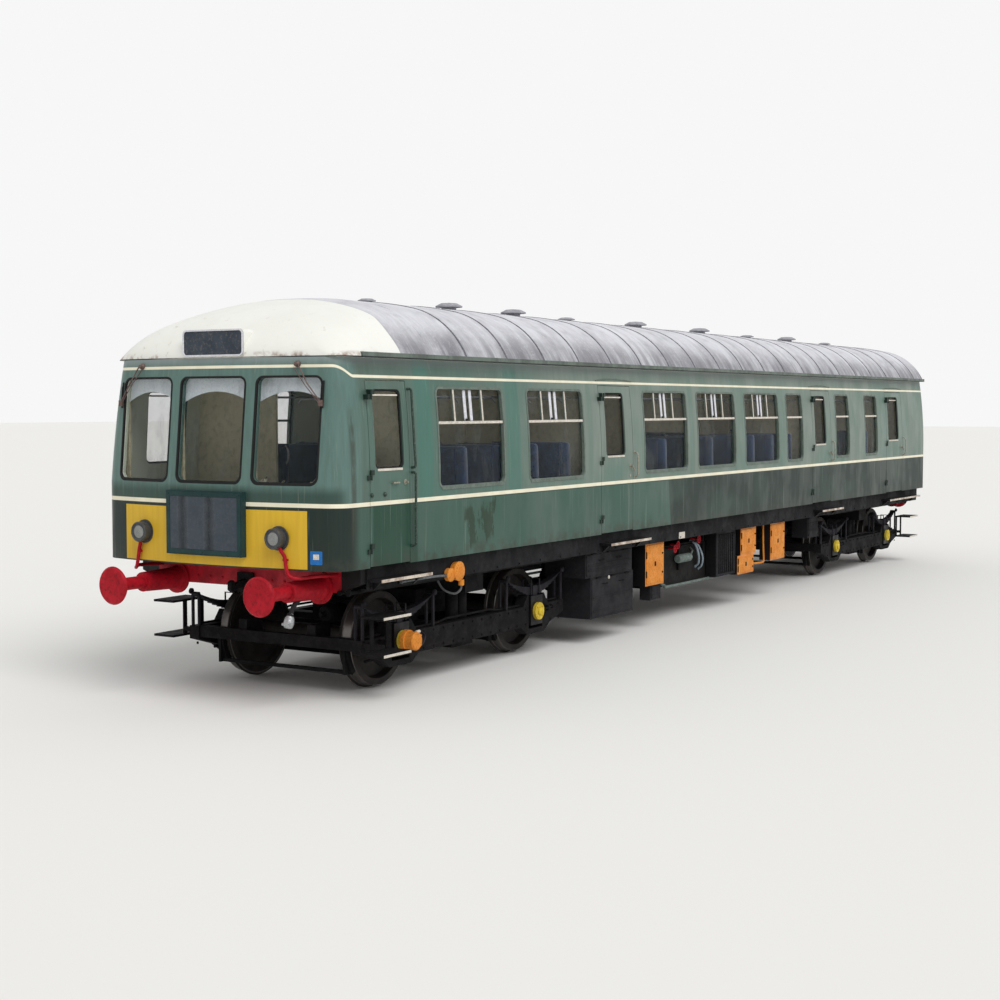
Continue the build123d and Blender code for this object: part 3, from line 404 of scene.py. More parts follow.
def bodyPaint():
    finish, tree, shader, point = startFinish("bodyPaint")
    x, y, z = parts(tree, point)
    facing = parts(tree, put(tree, "TexCoord").outputs["Normal"])
    look = paintColors(bodyLook)

    # Upper body with fading patches
    streaks = cloud(tree, point, bodyLook["streakWidth"], (1, 1, 0.06), 3, 0.6)
    broad = cloud(tree, point, 0.55, (1, 1, 0.5), 3, 0.5)
    teal = times(tree, broad, 0.35)
    for start, end, share in bodyLook["patches"]:
        teal = calc(tree, "MAXIMUM", teal, times(tree, band(tree, x, along(start), along(end), 0.03), share))
    teal = calc(tree, "MAXIMUM", teal, times(tree, step(tree, z, up(1.9), up(2.4), 0.5, 0.0), broad))
    upper = mixed(tree, step(tree, x, along(2.0), along(5.2), 1.0, 0.0), look["upper"], look["upperAhead"])
    upper = mixed(tree, teal, upper, look["upperTeal"])
    upper = mixed(tree, step(tree, x, bowX + 0.42, bowX + 0.5, 0.75, 0.0), upper, look["corner"])
    sill = times(tree, step(tree, x, bowX + 0.16, bowX + 0.3, 1.0, 0.0),
                 step(tree, z, up(1.9), up(2.02), 0.85, 0.0))
    upper = mixed(tree, sill, upper, look["frontSill"])

    # Lower body: pale patches, dark to the rear, the cab door, and painted shade on the nose
    pale = cloud(tree, point, 1.1, (1, 1, 1.6), 3, 0.5, 0.45, 0.7)
    lower = mixed(tree, broad, look["lower"], look["lowerTeal"])
    lower = mixed(tree, times(tree, pale, 0.4), lower, look["lowerPale"])
    slant = calc(tree, "MULTIPLY_ADD", z, bodyLook["rearSlant"], x)
    borderX = along(bodyLook["rearFrom"]) + 0.228
    darkLower = mixed(tree, times(tree, pale, 0.35), look["lowerRear"], look["lower"])
    lower = mixed(tree, step(tree, slant, *about(borderX, 0.006)), lower, darkLower)
    door = band(tree, x, *[along(place) for place in bodyLook["cabDoorSpan"]], 0.02)
    lower = mixed(tree, door, lower, look["cabDoor"])
    # Painted shade: the lower cab front and its corners take a near black green for the shade on them
    lower = mixed(tree, step(tree, x, bowX + 0.3, bowX + 0.46, 1.0, 0.0), lower, look["frontLowPaintedShade"])
    waistZ = up(coach["waistLine"])
    paint = mixed(tree, step(tree, z, waistZ - 0.002, waistZ + 0.002), lower, upper)

    # Dirt: dark and pale streaks, grime at the lower edge, moss and smears; a paler band under the gutters
    darkStreaks = times(tree, streaks, step(tree, x, bowX + 0.45, bowX + 0.9, 0.4, 0.2))
    paint = mixed(tree, darkStreaks, paint, mixed(tree, 0.5, paint, look["grime"]))
    thin = cloud(tree, point, 0.028, (1, 1, 0.03), 2, 0.5, 0.62, 0.72)
    paint = mixed(tree, times(tree, thin, 0.2), paint, look["paleStreak"])
    edgeDirt = times(tree, step(tree, z, up(1.25), up(1.42), 0.7, 0.0), cloud(tree, point, 0.12))
    paint = mixed(tree, edgeDirt, paint, look["grime"])
    # paler in the top ten centimetres of the sides, under the gutters
    paint = mixed(tree, step(tree, z, cantZ - 0.1, cantZ, 0.0, 0.5), paint, look["underGutter"])
    ragged = calc(tree, "MULTIPLY_ADD", cloud(tree, point, 0.09, (1, 1, 0.35), 5, 0.7, 0.2, 0.8), 0.2, -0.1)
    lowZ, highZ = [up(height) for height in bodyLook["mossZ"]]
    inRuns = band(tree, calc(tree, "ADD", z, ragged), lowZ, highZ, 0.05)
    inRuns = times(tree, inRuns, calc(tree, "LESS_THAN", y, 0))
    for top, bottom, width in bodyLook["mossRuns"]:
        slope = (top - bottom) / 0.4
        middle = calc(tree, "MULTIPLY_ADD", z, slope, along(bottom) - slope * up(1.34))
        offset = calc(tree, "ADD", calc(tree, "SUBTRACT", x, middle), ragged)
        run = times(tree, band(tree, offset, -width, width, 0.02), inRuns)
        paint = mixed(tree, times(tree, run, 0.85), paint, look["moss"])
    smear = times(tree, band(tree, x, bowX + 0.3, bowX + 0.37, 0.02), band(tree, z, up(1.5), up(2.62), 0.2))
    smear = times(tree, smear, cloud(tree, point, 0.05, (1, 1, 0.2), 3, 0.6, 0.3, 0.6))
    paint = mixed(tree, times(tree, smear, 0.7), paint, look["grime"])
    stain = band(tree, x, *[along(place) for place in bodyLook["stainSpan"]], 0.06)
    stain = times(tree, times(tree, stain, band(tree, z, up(1.5), up(2.15), 0.1)), streaks)
    paint = mixed(tree, times(tree, stain, 0.3), paint, look["mossPale"])

    # The yellow panel and the lines
    yellow = times(tree, band(tree, y, -bodyLook["panelHalf"], bodyLook["panelHalf"], 0.003),
                   band(tree, z, *[up(height) for height in bodyLook["panelZ"]], 0.003))
    yellow = times(tree, yellow, step(tree, x, bowX + 0.2, bowX + 0.21, 1.0, 0.0))
    worn = mixed(tree, times(tree, streaks, 0.25), look["yellow"], look["yellowWorn"])
    paint = mixed(tree, yellow, paint, worn)
    under = band(tree, z, waistZ - 0.031, waistZ - 0.021, 0.002)
    paint = mixed(tree, times(tree, under, 0.8), paint, look["line"])
    lineZ = step(tree, x, bowX + 0.24, bowX + 0.42, up(coach["frontLine"]), up(coach["upperLine"]))
    upperLine = band(tree, calc(tree, "SUBTRACT", z, lineZ), -0.013, 0.013, 0.002)
    lines = calc(tree, "MAXIMUM", band(tree, z, waistZ - 0.02, waistZ + 0.017, 0.002), upperLine)
    cream = mixed(tree, times(tree, cloud(tree, point, 0.2), 0.3), look["cream"], look["creamDirt"])
    paint = mixed(tree, lines, paint, cream)

    # Hinges stand outside the panels
    rise = calc(tree, "MAXIMUM", calc(tree, "SUBTRACT", z, coach["leanStart"]), 0.0)
    lean = calc(tree, "DIVIDE", calc(tree, "POWER", rise, 2.0), 2 * coach["leanRadius"])
    proud = calc(tree, "SUBTRACT", calc(tree, "ADD", calc(tree, "ABSOLUTE", y), lean), coach["half"])
    paint = mixed(tree, step(tree, proud, 0.004, 0.006), paint, look["hinge"])

    # Walls are lined inside: seen where the normal looks towards the car's middle
    ahead = calc(tree, "MINIMUM", calc(tree, "SUBTRACT", x, bowX + 2.0), 0.0)
    outward = calc(tree, "MULTIPLY_ADD", facing[1], y, times(tree, facing[0], ahead))
    paint = mixed(tree, step(tree, outward, -0.5, -0.4, 1.0, 0.0), paint, look["lining"])
    rough = step(tree, cloud(tree, point, 0.3, (1, 1, 0.4)), 0.0, 1.0, *bodyLook["rough"])
    plug(tree, shader, {"Base Color": paint, "Roughness": rough, "Specular IOR Level": 0.3})
    addBump(tree, shader, cloud(tree, point, 0.9, (1, 1, 1), 2, 0.4, 0.2, 0.8), 0.5, 0.003)
    return finish


roofLook = {
    "grey": (152, 152, 158),
    "crown": (208, 208, 214),        # nearer to the middle
    "pale": (230, 231, 236),
    "dark": (104, 103, 109),
    "dome": (236, 236, 230),
    "domeGrey": (214, 214, 206),
    "domeStain": (150, 128, 104),
    "rust": (120, 84, 56),
    "gutter": (104, 116, 108),
    "gutterDark": (84, 92, 86),
    # painted shadow under the gutter
    "drip": (34, 38, 38),
    "ceiling": (236, 232, 218),
    "domeBorder": 1.313,             # place along the car where the white paint ends
}


def roofPaint(name, white):
    finish, tree, shader, point = startFinish(name)
    x, y, z = parts(tree, point)
    normal = parts(tree, put(tree, "TexCoord").outputs["Normal"])
    look = paintColors(roofLook)
    blotches = cloud(tree, point, 0.5, (1, 0.8, 1), 6, 0.65)
    runs = cloud(tree, point, 0.12, (1, 0.12, 0.12), 5, 0.65)
    speckle = cloud(tree, point, 0.035, (1, 1, 1), 4, 0.7, 0.5, 0.75)
    smoke = cloud(tree, point, 0.28, (1, 1, 1), 6, 0.7, 0.45, 0.75)
    lowDirt = times(tree, step(tree, z, cantZ + 0.05, cantZ + 0.35, 0.6, 0.0), calc(tree, "ADD", runs, 0.25))
    paint = mixed(tree, step(tree, z, cantZ + 0.1, roofTopZ - 0.12), look["grey"], look["crown"])
    paint = mixed(tree, times(tree, blotches, 0.6), paint, look["pale"])
    paint = mixed(tree, times(tree, smoke, 0.42), paint, look["dark"])
    paint = mixed(tree, times(tree, runs, 0.2), paint, look["dark"])
    paint = mixed(tree, times(tree, speckle, 0.5), paint, look["pale"])
    paint = mixed(tree, lowDirt, paint, look["dark"])
    if white:
        clean = mixed(tree, times(tree, blotches, 0.18), look["dome"], look["domeGrey"])
        freckles = cloud(tree, point, 0.09, (1, 1, 0.6), 5, 0.7, 0.62, 0.72)
        clean = mixed(tree, times(tree, freckles, 0.35), clean, look["domeStain"])
        rust = times(tree, step(tree, z, cantZ + 0.01, cantZ + 0.07, 0.8, 0.0),
                     cloud(tree, point, 0.25, (1, 1, 1), 4, 0.6, 0.5, 0.62))
        clean = mixed(tree, rust, clean, look["rust"])
        border = along(roofLook["domeBorder"])
        paint = mixed(tree, step(tree, x, border - 0.006, border + 0.006), clean, paint)
    strip = times(tree, step(tree, z, cantZ + 0.046, cantZ + 0.05, 1.0, 0.0),
                  step(tree, x, bowX + 0.47, bowX + 0.48))
    paint = mixed(tree, strip, paint, mixed(tree, runs, look["gutter"], look["gutterDark"]))
    # Painted shadow: the lowest centimetre of the roof's edge, under the gutter, is near black for the shadow
    # there
    paint = mixed(tree, step(tree, z, cantZ + 0.008, cantZ + 0.012, 1.0, 0.0), paint, look["drip"])
    below = times(tree, step(tree, normal[2], -0.3, -0.1, 1.0, 0.0),
                  step(tree, calc(tree, "ABSOLUTE", y), 1.34, 1.35, 1.0, 0.0))
    paint = mixed(tree, below, paint, look["ceiling"])
    rough = step(tree, blotches, 0.0, 1.0, 0.5, 0.75)
    plug(tree, shader, {"Base Color": paint, "Roughness": rough, "Specular IOR Level": 0.3})
    addBump(tree, shader, calc(tree, "ADD", speckle, runs), 0.25, 0.002)
    return finish


def blendFinish(name, base, other, size, gloss, dirt, metallic=0.0):
    finish, tree, shader, point = startFinish(name)
    patches = cloud(tree, point, size, (1, 1, 1), 5, 0.6)
    fine = cloud(tree, point, size * 0.18, (1, 1, 1), 5, 0.7, 0.45, 0.7)
    paint = mixed(tree, times(tree, patches, 0.6), paintColor(*base), paintColor(*other))
    paint = mixed(tree, times(tree, fine, 0.6), paint, paintColor(*dirt))
    rough = step(tree, patches, 0.0, 1.0, gloss, min(gloss + 0.2, 1.0))
    plug(tree, shader, {"Base Color": paint, "Roughness": rough, "Metallic": metallic,
                        "Specular IOR Level": 0.5 if metallic else 0.15})
    addBump(tree, shader, fine, 0.35, 0.002)
    return finish


# Finishes of one colour with patches and dirt. Columns: colour, patches, size, roughness, dirt, metallic
simpleFinishes = {
    # The solebar, underframe, bogie and spring blacks are darker than their paint: black paint plus painted
    # shade under the car
    "solebarBlackShaded": ((25, 26, 29), (19, 19, 22), 0.3, 0.65, (38, 35, 34)),
    "underframeBlackShaded": ((15, 15, 16), (11, 11, 12), 0.25, 0.7, (28, 25, 23)),
    "bogieBlackShaded": ((19, 18, 20), (14, 14, 15), 0.2, 0.7, (36, 31, 29)),
    "springSteelShaded": ((44, 42, 48), (29, 28, 32), 0.12, 0.65, (32, 28, 27)),
    "engineMetal": ((21, 20, 20), (29, 27, 25), 0.15, 0.65, (14, 13, 13)),
    "redPaint": ((178, 22, 38), (140, 16, 28), 0.2, 0.42, (80, 20, 22)),
    "yellowPaint": ((222, 196, 60), (196, 166, 46), 0.08, 0.45, (120, 100, 40)),
    "orangePaint": ((222, 142, 56), (202, 120, 42), 0.12, 0.45, (140, 84, 38)),
    "batteryPaint": ((34, 34, 38), (26, 26, 29), 0.25, 0.65, (46, 42, 41)),
    "seatMetal": ((120, 118, 108), (96, 92, 84), 0.1, 0.4, (70, 66, 60), 0.3),
    "liningBoard": ((228, 220, 192), (212, 203, 174), 0.4, 0.5, (180, 170, 144)),
    "deskPaint": ((66, 76, 72), (54, 62, 60), 0.2, 0.5, (40, 44, 42)),
    "linoleum": ((92, 74, 68), (74, 60, 56), 0.3, 0.5, (58, 50, 46)),
    "gangwayCloth": ((38, 38, 39), (50, 49, 48), 0.1, 0.8, (66, 62, 58)),
    "windowAlloy": ((112, 124, 116), (94, 104, 97), 0.1, 0.5, (70, 76, 70)),
    "whiteBars": ((226, 226, 232), (204, 206, 212), 0.05, 0.4, (160, 160, 160)),
    "darkRail": ((46, 66, 58), (36, 52, 46), 0.06, 0.4, (120, 128, 120)),
    "doorBrass": ((176, 174, 160), (120, 116, 96), 0.02, 0.35, (70, 64, 50), 0.7),
    "lampGrey": ((72, 74, 76), (52, 54, 56), 0.06, 0.4, (40, 40, 40), 0.2),
    "lampFace": ((150, 152, 148), (128, 130, 128), 0.05, 0.25, (96, 98, 96)),
    "blackRubber": ((26, 27, 28), (36, 36, 37), 0.05, 0.6, (52, 50, 48)),
    "routePaint": ((34, 62, 62), (28, 48, 50), 0.2, 0.4, (50, 62, 58)),
    "blindFace": ((66, 74, 82), (56, 64, 72), 0.15, 0.2, (78, 84, 92)),
    "bluePlate": ((36, 116, 190), (30, 100, 170), 0.05, 0.4, (60, 90, 130)),
    "edgeWhite": ((222, 216, 204), (190, 184, 172), 0.06, 0.55, (120, 108, 96)),
    "ventGrey": ((170, 170, 176), (140, 140, 146), 0.06, 0.6, (92, 92, 96)),
    "castSilver": ((176, 178, 180), (140, 142, 146), 0.04, 0.35, (80, 80, 80), 0.6),
    "wiperBrown": ((112, 90, 84), (84, 68, 64), 0.04, 0.5, (60, 50, 46), 0.2),
    "cableGrey": ((110, 112, 114), (84, 86, 88), 0.05, 0.5, (60, 60, 60)),
    "seamGrey": ((104, 103, 110), (80, 80, 86), 0.1, 0.6, (150, 150, 156)),
    "lampBowl": ((236, 232, 214), (222, 216, 196), 0.1, 0.4, (200, 192, 170)),
    "pillarPaint": ((206, 198, 168), (188, 180, 150), 0.2, 0.5, (150, 142, 118)),
    # painted reflection: a near white for the cab blinds, standing for the sky reflected in the cab windows
    "blindAsSkyReflection": ((238, 246, 250), (224, 234, 242), 0.1, 0.7, (190, 200, 208)),
    "filterGrey": ((112, 124, 118), (84, 94, 90), 0.05, 0.45, (50, 54, 52)),
    "hoseSilver": ((150, 164, 174), (110, 122, 132), 0.03, 0.4, (60, 66, 70), 0.5),
    "clothEdge": ((24, 40, 84), (18, 30, 64), 0.05, 0.8, (40, 56, 100)),
}


wheelLook = {"rust": (48, 42, 39), "dark": (28, 26, 25), "tread": (104, 100, 97), "treadSpan": (0.452, 0.468)}


def wheelSteel(name, axleX):
    finish, tree, shader, point = startFinish(name)
    x, y, z = parts(tree, point)
    squares = [calc(tree, "POWER", calc(tree, "SUBTRACT", value, middle), 2.0)
               for value, middle in ((x, axleX), (z, up(0.457)))]
    radius = calc(tree, "SQRT", calc(tree, "ADD", *squares))
    dust = cloud(tree, point, 0.12, (1, 1, 1), 5, 0.65)
    rolled = band(tree, radius, *wheelLook["treadSpan"], 0.002)
    look = paintColors(wheelLook)
    paint = mixed(tree, rolled, mixed(tree, dust, look["rust"], look["dark"]), look["tread"])
    plug(tree, shader, {"Base Color": paint,
                        "Roughness": step(tree, rolled, 0.0, 1.0, 0.65, 0.3),
                        "Metallic": times(tree, rolled, 0.8), "Specular IOR Level": 0.25})
    addBump(tree, shader, dust, 0.3, 0.002)
    return finish


# Finishes of two colours. Columns: first colours and dirt, second colours, whether the value is the distance
# off the middle (else it is X), where the change starts and ends, whether the second colours lie below that
# painted shade: the bogie black, darker than its paint for the shade under the car
blackShadedColors = ((19, 18, 20), (14, 14, 15), (36, 31, 29))
caseColors = ((234, 234, 228), (222, 222, 214), (150, 140, 124))
twoColorFinishes = {
    "controlBoxPaint": (blackShadedColors, ((222, 142, 56), (202, 120, 42)), True, 1.282, 1.284, False),   # lids
    "boardPaint": (blackShadedColors, ((214, 204, 190), (150, 130, 114)), True, 1.484, 1.488, False),    # worn edge
    "axleboxPaint": (blackShadedColors, ((216, 190, 62), (190, 162, 48)), True, 1.078, 1.08, False),       # covers
    "headstockPaint": (blackShadedColors, ((178, 22, 38), (140, 16, 28)), True, 1.1, 1.11, True),
    "displayCase": (caseColors, ((58, 66, 76), (48, 56, 66)), False, bowX + 0.107, bowX + 0.109, True),
}


def twoColors(name, base, other, offMiddle, low, high, below):
    finish, tree, shader, point = startFinish(name)
    x, y, z = parts(tree, point)
    value = calc(tree, "ABSOLUTE", y) if offMiddle else x
    second = step(tree, value, low, high, float(below), float(not below))
    patches = cloud(tree, point, 0.15, (1, 1, 1), 5, 0.6)
    fine = cloud(tree, point, 0.03, (1, 1, 1), 5, 0.7, 0.5, 0.75)
    paints = [mixed(tree, patches, paintColor(*colors[0]), paintColor(*colors[1]))
              for colors in (base, other)]
    paint = mixed(tree, times(tree, fine, 0.35), mixed(tree, second, *paints), paintColor(*base[2]))
    plug(tree, shader, {"Base Color": paint, "Roughness": step(tree, patches, 0.0, 1.0, 0.4, 0.6),
                        "Specular IOR Level": 0.25})
    addBump(tree, shader, fine, 0.3, 0.002)
    return finish


clothLook = {"blue": (26, 52, 88), "dark": (14, 32, 60), "fleck": (62, 88, 122), "weave": 0.004}


def seatCloth():
    finish, tree, shader, point = startFinish("seatCloth")
    weave = put(tree, "TexVoronoi", {"Vector": point, "Scale": 1 / clothLook["weave"]}).outputs["Distance"]
    flecks = cloud(tree, point, 0.05, (1, 1, 1), 3, 0.5, 0.45, 0.75)
    look = paintColors(clothLook)
    paint = mixed(tree, cloud(tree, point, 0.3), look["blue"], look["dark"])
    paint = mixed(tree, times(tree, flecks, 0.35), paint, look["fleck"])
    plug(tree, shader, {"Base Color": paint, "Roughness": 0.9, "Sheen Weight": 0.35})
    addBump(tree, shader, weave, 0.06, 0.0005)
    return finish


glassLook = {"tint": (40, 50, 50), "dusty": (112, 118, 112), "alpha": (0.12, 0.28), "rough": (0.04, 0.2),
             "ior": 1.5}


def windowGlass():
    finish, tree, shader, point = startFinish("windowGlass")
    dust = cloud(tree, point, 0.25, (1, 1, 0.5), 4, 0.6, 0.45, 0.8)
    look = paintColors(glassLook)
    paint = mixed(tree, times(tree, dust, 0.3), look["tint"], look["dusty"])
    plug(tree, shader, {"Base Color": paint, "Roughness": step(tree, dust, 0.0, 1.0, *glassLook["rough"]),
                        "Alpha": step(tree, dust, 0.0, 1.0, *glassLook["alpha"]), "IOR": glassLook["ior"]})
    return finish


finishes = {"bodyPaint": bodyPaint(), "roofPaint": roofPaint("roofPaint", False),
            "domePaint": roofPaint("domePaint", True), "seatCloth": seatCloth(), "windowGlass": windowGlass()}
for finishName, row in simpleFinishes.items():
    finishes[finishName] = blendFinish(finishName, *row)
for finishName, row in twoColorFinishes.items():
    finishes[finishName] = twoColors(finishName, *row)

# Which finish each CAD node takes
nodeFinishes = {
    "bodyPaint": ["side_near", "side_far", "cab_front", "rear_wall", "cab_door_near", "cab_door_far",
                  "front_door_near", "front_door_far", "middle_door_near", "middle_door_far",
                  "rear_door_near", "rear_door_far"],
    "roofPaint": ["roof"], "domePaint": ["cab_dome"], "ventGrey": ["roof_vents"],
    "solebarBlackShaded": ["longitudinal_beams"],
    "underframeBlackShaded": ["cross_members", "air_reservoirs", "fuel_tank", "radiators", "brake_gear_front",
                        "brake_gear_rear", "couplings"],
    "bogieBlackShaded": ["bogie_frame_front", "bogie_frame_rear", "bogie_bolster_front", "bogie_bolster_rear",
                   "bogie_steps_front", "bogie_steps_rear"],
    "boardPaint": ["step_boards"],
    "axleboxPaint": ["axleboxes_front", "axleboxes_rear"],
    "springSteelShaded": ["leaf_springs_front", "leaf_springs_rear"],
    "engineMetal": ["engines"], "redPaint": ["buffers"], "headstockPaint": ["headstocks"],
    "controlBoxPaint": ["control_boxes"], "orangePaint": ["axle_generator"], "batteryPaint": ["battery_box"],
    "seatMetal": ["seat_legs"], "liningBoard": ["screens"], "deskPaint": ["cab_desk"], "linoleum": ["floor"],
    "gangwayCloth": ["gangway"], "windowAlloy": ["window_frames"], "darkRail": ["grab_rails"],
    "lampGrey": ["marker_lamps"], "routePaint": ["route_box"], "displayCase": ["destination_box"],
    "windowGlass": ["glazing"], "seatCloth": ["seat_cushions", "seat_backs"],
}
for number in (1, 2, 3, 4):
    name, (low, high) = f"wheelSteel{number}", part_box(f"wheelset_{number}")
    finishes[name] = wheelSteel(name, (low.x + high.x) / 2)
    nodeFinishes[name] = [f"wheelset_{number}"]
for finishName, nodeNames in nodeFinishes.items():
    for nodeName in nodeNames:
        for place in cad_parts[nodeName].material_slots:
            place.material = finishes[finishName]
print("materials done")

# Camera, light and floor
studio = {
    "cameraAt": (-19.717, -9.825, 2.72),
    "turn": 31.29,               # degrees from +X towards +Y
    "tilt": -3.33,
    "lens": 57.79,
    "skyStrength": 0.62,
    "backdrop": (0.93, 0.93, 0.93),
    "sunStrength": 1.7,
    "sunSize": 40,               # degrees across, so its shadows are soft
    "floorColor": (236, 235, 232),
    "floorHalf": 200,
}
cameraData = bpy.data.cameras.new("camera")
cameraData.lens = studio["lens"]
cameraData.sensor_width = 36
cameraData.clip_end = 500
camera = bpy.data.objects.new("camera", cameraData)
camera.location = studio["cameraAt"]
camera.rotation_euler = (math.radians(90 + studio["tilt"]), 0, math.radians(studio["turn"] - 90))
bpy.context.scene.collection.objects.link(camera)
bpy.context.scene.camera = camera
bpy.context.scene.view_settings.view_transform = "Standard"

sunData = bpy.data.lights.new("softSun", "SUN")
sunData.energy = studio["sunStrength"]
sunData.angle = math.radians(studio["sunSize"])
sun = bpy.data.objects.new("softSun", sunData)
sun.rotation_euler = (math.radians(38), math.radians(-22), 0)
bpy.context.scene.collection.objects.link(sun)

world = bpy.data.worlds.new("studio")
bpy.context.scene.world = world
world.use_nodes = True
sky = world.node_tree
rays = put(sky, "LightPath").outputs
seen = calc(sky, "MAXIMUM", rays["Is Camera Ray"], rays["Is Glossy Ray"])
seen = calc(sky, "MAXIMUM", seen, rays["Is Transmission Ray"])
light = put(sky, "Background", {0: (1, 1, 1, 1), 1: studio["skyStrength"]}).outputs[0]
backdrop = put(sky, "Background", {0: (*studio["backdrop"], 1), 1: 1.0}).outputs[0]
blend = put(sky, "MixShader", {0: seen, 1: light, 2: backdrop}).outputs[0]
sky.links.new(blend, sky.nodes["World Output"].inputs[0])

floorShape = bmesh.new()
reach = studio["floorHalf"]
floorShape.faces.new([floorShape.verts.new((a, b, 0)) for a, b in
                      ((-reach, -reach), (reach, -reach), (reach, reach), (-reach, reach))])
floorMesh = bpy.data.meshes.new("studioFloor")
floorShape.to_mesh(floorMesh)
floorShape.free()
floorFinish, floorTree, floorShader = startFinish("floorFinish")[:3]
plug(floorTree, floorShader, {"Base Color": paintColor(*studio["floorColor"]), "Roughness": 0.9,
                              "Specular IOR Level": 0.1})
floorMesh.materials.append(floorFinish)
studioFloor = bpy.data.objects.new("studioFloor", floorMesh)
bpy.context.scene.collection.objects.link(studioFloor)
print("camera, light and floor done")
# Doors: each side has the same four. Columns: body, place of the leaf, its width, droplight offset and width
doors = {
    "rows": [("cab_door", 0.8, 0.62, 0.085, 0.45), ("front_door", 5.24, 0.78, 0.115, 0.48),
             ("middle_door", 11.99, 0.78, 0.095, 0.48), ("rear_door", 15.47, 0.85, 0.095, 0.56)],
    "glass": (2.128, 2.85),      # lower and upper edge of the droplights
    "corner": 0.055,
    "rim": 0.02,                 # width of the frame round the glass
    "barDrop": 0.045,            # pale bar below the top of the opening
    "barHeight": 0.016,
    "depth": 0.026,              # glass behind the panels
    "lever": 2.0,
    "leverInset": 0.07,
    "cabBar": 1.17,              # place of the cab door's handle bar
    "knobs": (0.02, 0.22),
    "grab": (1.87, 2.16),
}
sides = {"near": -1, "far": 1}


def doorGlass(row, sideName):
    place, body = onSide(sides[sideName]), f"{row[0]}_{sideName}"
    start = row[1] + row[3]
    x = (along(start), along(start + row[4]))
    z = [up(height) for height in doors["glass"]]
    rim, depth = doors["rim"], doors["depth"]
    outline = rounded(grown(x, -0.001), grown(z, -0.001), doors["corner"])
    hole = rounded(grown(x, -rim), grown(z, -rim), doors["corner"] - rim / 2)
    shape = bmesh.new()
    addPanel(shape, place, outline, -depth - 0.006, -depth)
    finishPiece(shape, f"{body}_droplight", "windowGlass", 0, body)
    shape = bmesh.new()
    addPanel(shape, place, outline, -depth, -depth + 0.016, hole)
    finishPiece(shape, f"{body}_droplightRim", "blackRubber", 0.002, body)
    shape = bmesh.new()
    barTop = z[1] - doors["barDrop"]
    addPlate(shape, place, grown(x, -rim * 1.6), (barTop - doors["barHeight"], barTop), 0.006,
             -depth + 0.001, -depth + 0.014, 3)
    addPlate(shape, place, grown(x, -0.03), (z[0] - doors["barHeight"], z[0] + 0.006), 0.008, -0.02, 0.006, 3)
    finishPiece(shape, f"{body}_droplightBars", "edgeWhite", 0.002, body)


def doorHandles(row, sideName):
    name, start, width = row[:3]
    side = sides[sideName]
    place, out, body = onSide(side), (0, side, 0), f"{name}_{sideName}"
    x, z = along(start + width - doors["leverInset"]), up(doors["lever"])
    shape = bmesh.new()
    addTurned(shape, [(0.026, 0), (0.026, 0.004), (0.014, 0.008), (0.011, 0.03)], place(x, z, 0), out, 16)
    if name == "cab_door":
        bar = along(doors["cabBar"])
        addTube(shape, [place(bar + end, z, 0.024) for end in (-0.05, 0.05)], 0.009, 8)
        for end in (-0.04, 0.04):
            addTube(shape, [place(bar + end, z, out) for out in (0, 0.024)], 0.007, 8)
    else:
        addTube(shape, [place(x - 0.012, z + 0.012, 0.032), place(x + 0.055, z - 0.05, 0.032)], 0.009, 8)
        addTurned(shape, [(0.016, 0), (0.016, 0.004), (0.008, 0.006)], place(x, z - 0.11, 0), out, 14)
    finishPiece(shape, f"{body}_handle", "doorBrass", 0, body)
    shape = bmesh.new()
    if name == "cab_door":
        for offset in doors["knobs"]:
            centre = place(along(start + offset), up(1.9), 0)
            addTurned(shape, [(0.02, 0), (0.02, 0.012), (0.01, 0.02)], centre, (0, side, 0), 12)
        finishPiece(shape, f"{body}_knobs", "darkRail", 0, body)
        return
    x = along(start + width + 0.045)      # a curved grab handle on the body beside the door
    low, high = [up(height) for height in doors["grab"]]
    line = [(low, 0), (low + 0.01, 0.03), (low + 0.05, 0.045),
            (high - 0.05, 0.045), (high - 0.01, 0.03), (high, 0)]
    addTube(shape, curvy([place(x, *spot) for spot in line], 4), 0.009, 8)
    for z in (low, high):
        addTurned(shape, [(0.02, 0), (0.02, 0.003), (0.012, 0.006)], place(x, z, 0), (0, side, 0), 14)
    finishPiece(shape, f"{body}_grabHandle", "doorBrass")


for row in doors["rows"]:
    for sideName in sides:
        doorGlass(row, sideName)
        doorHandles(row, sideName)
print("doors done")

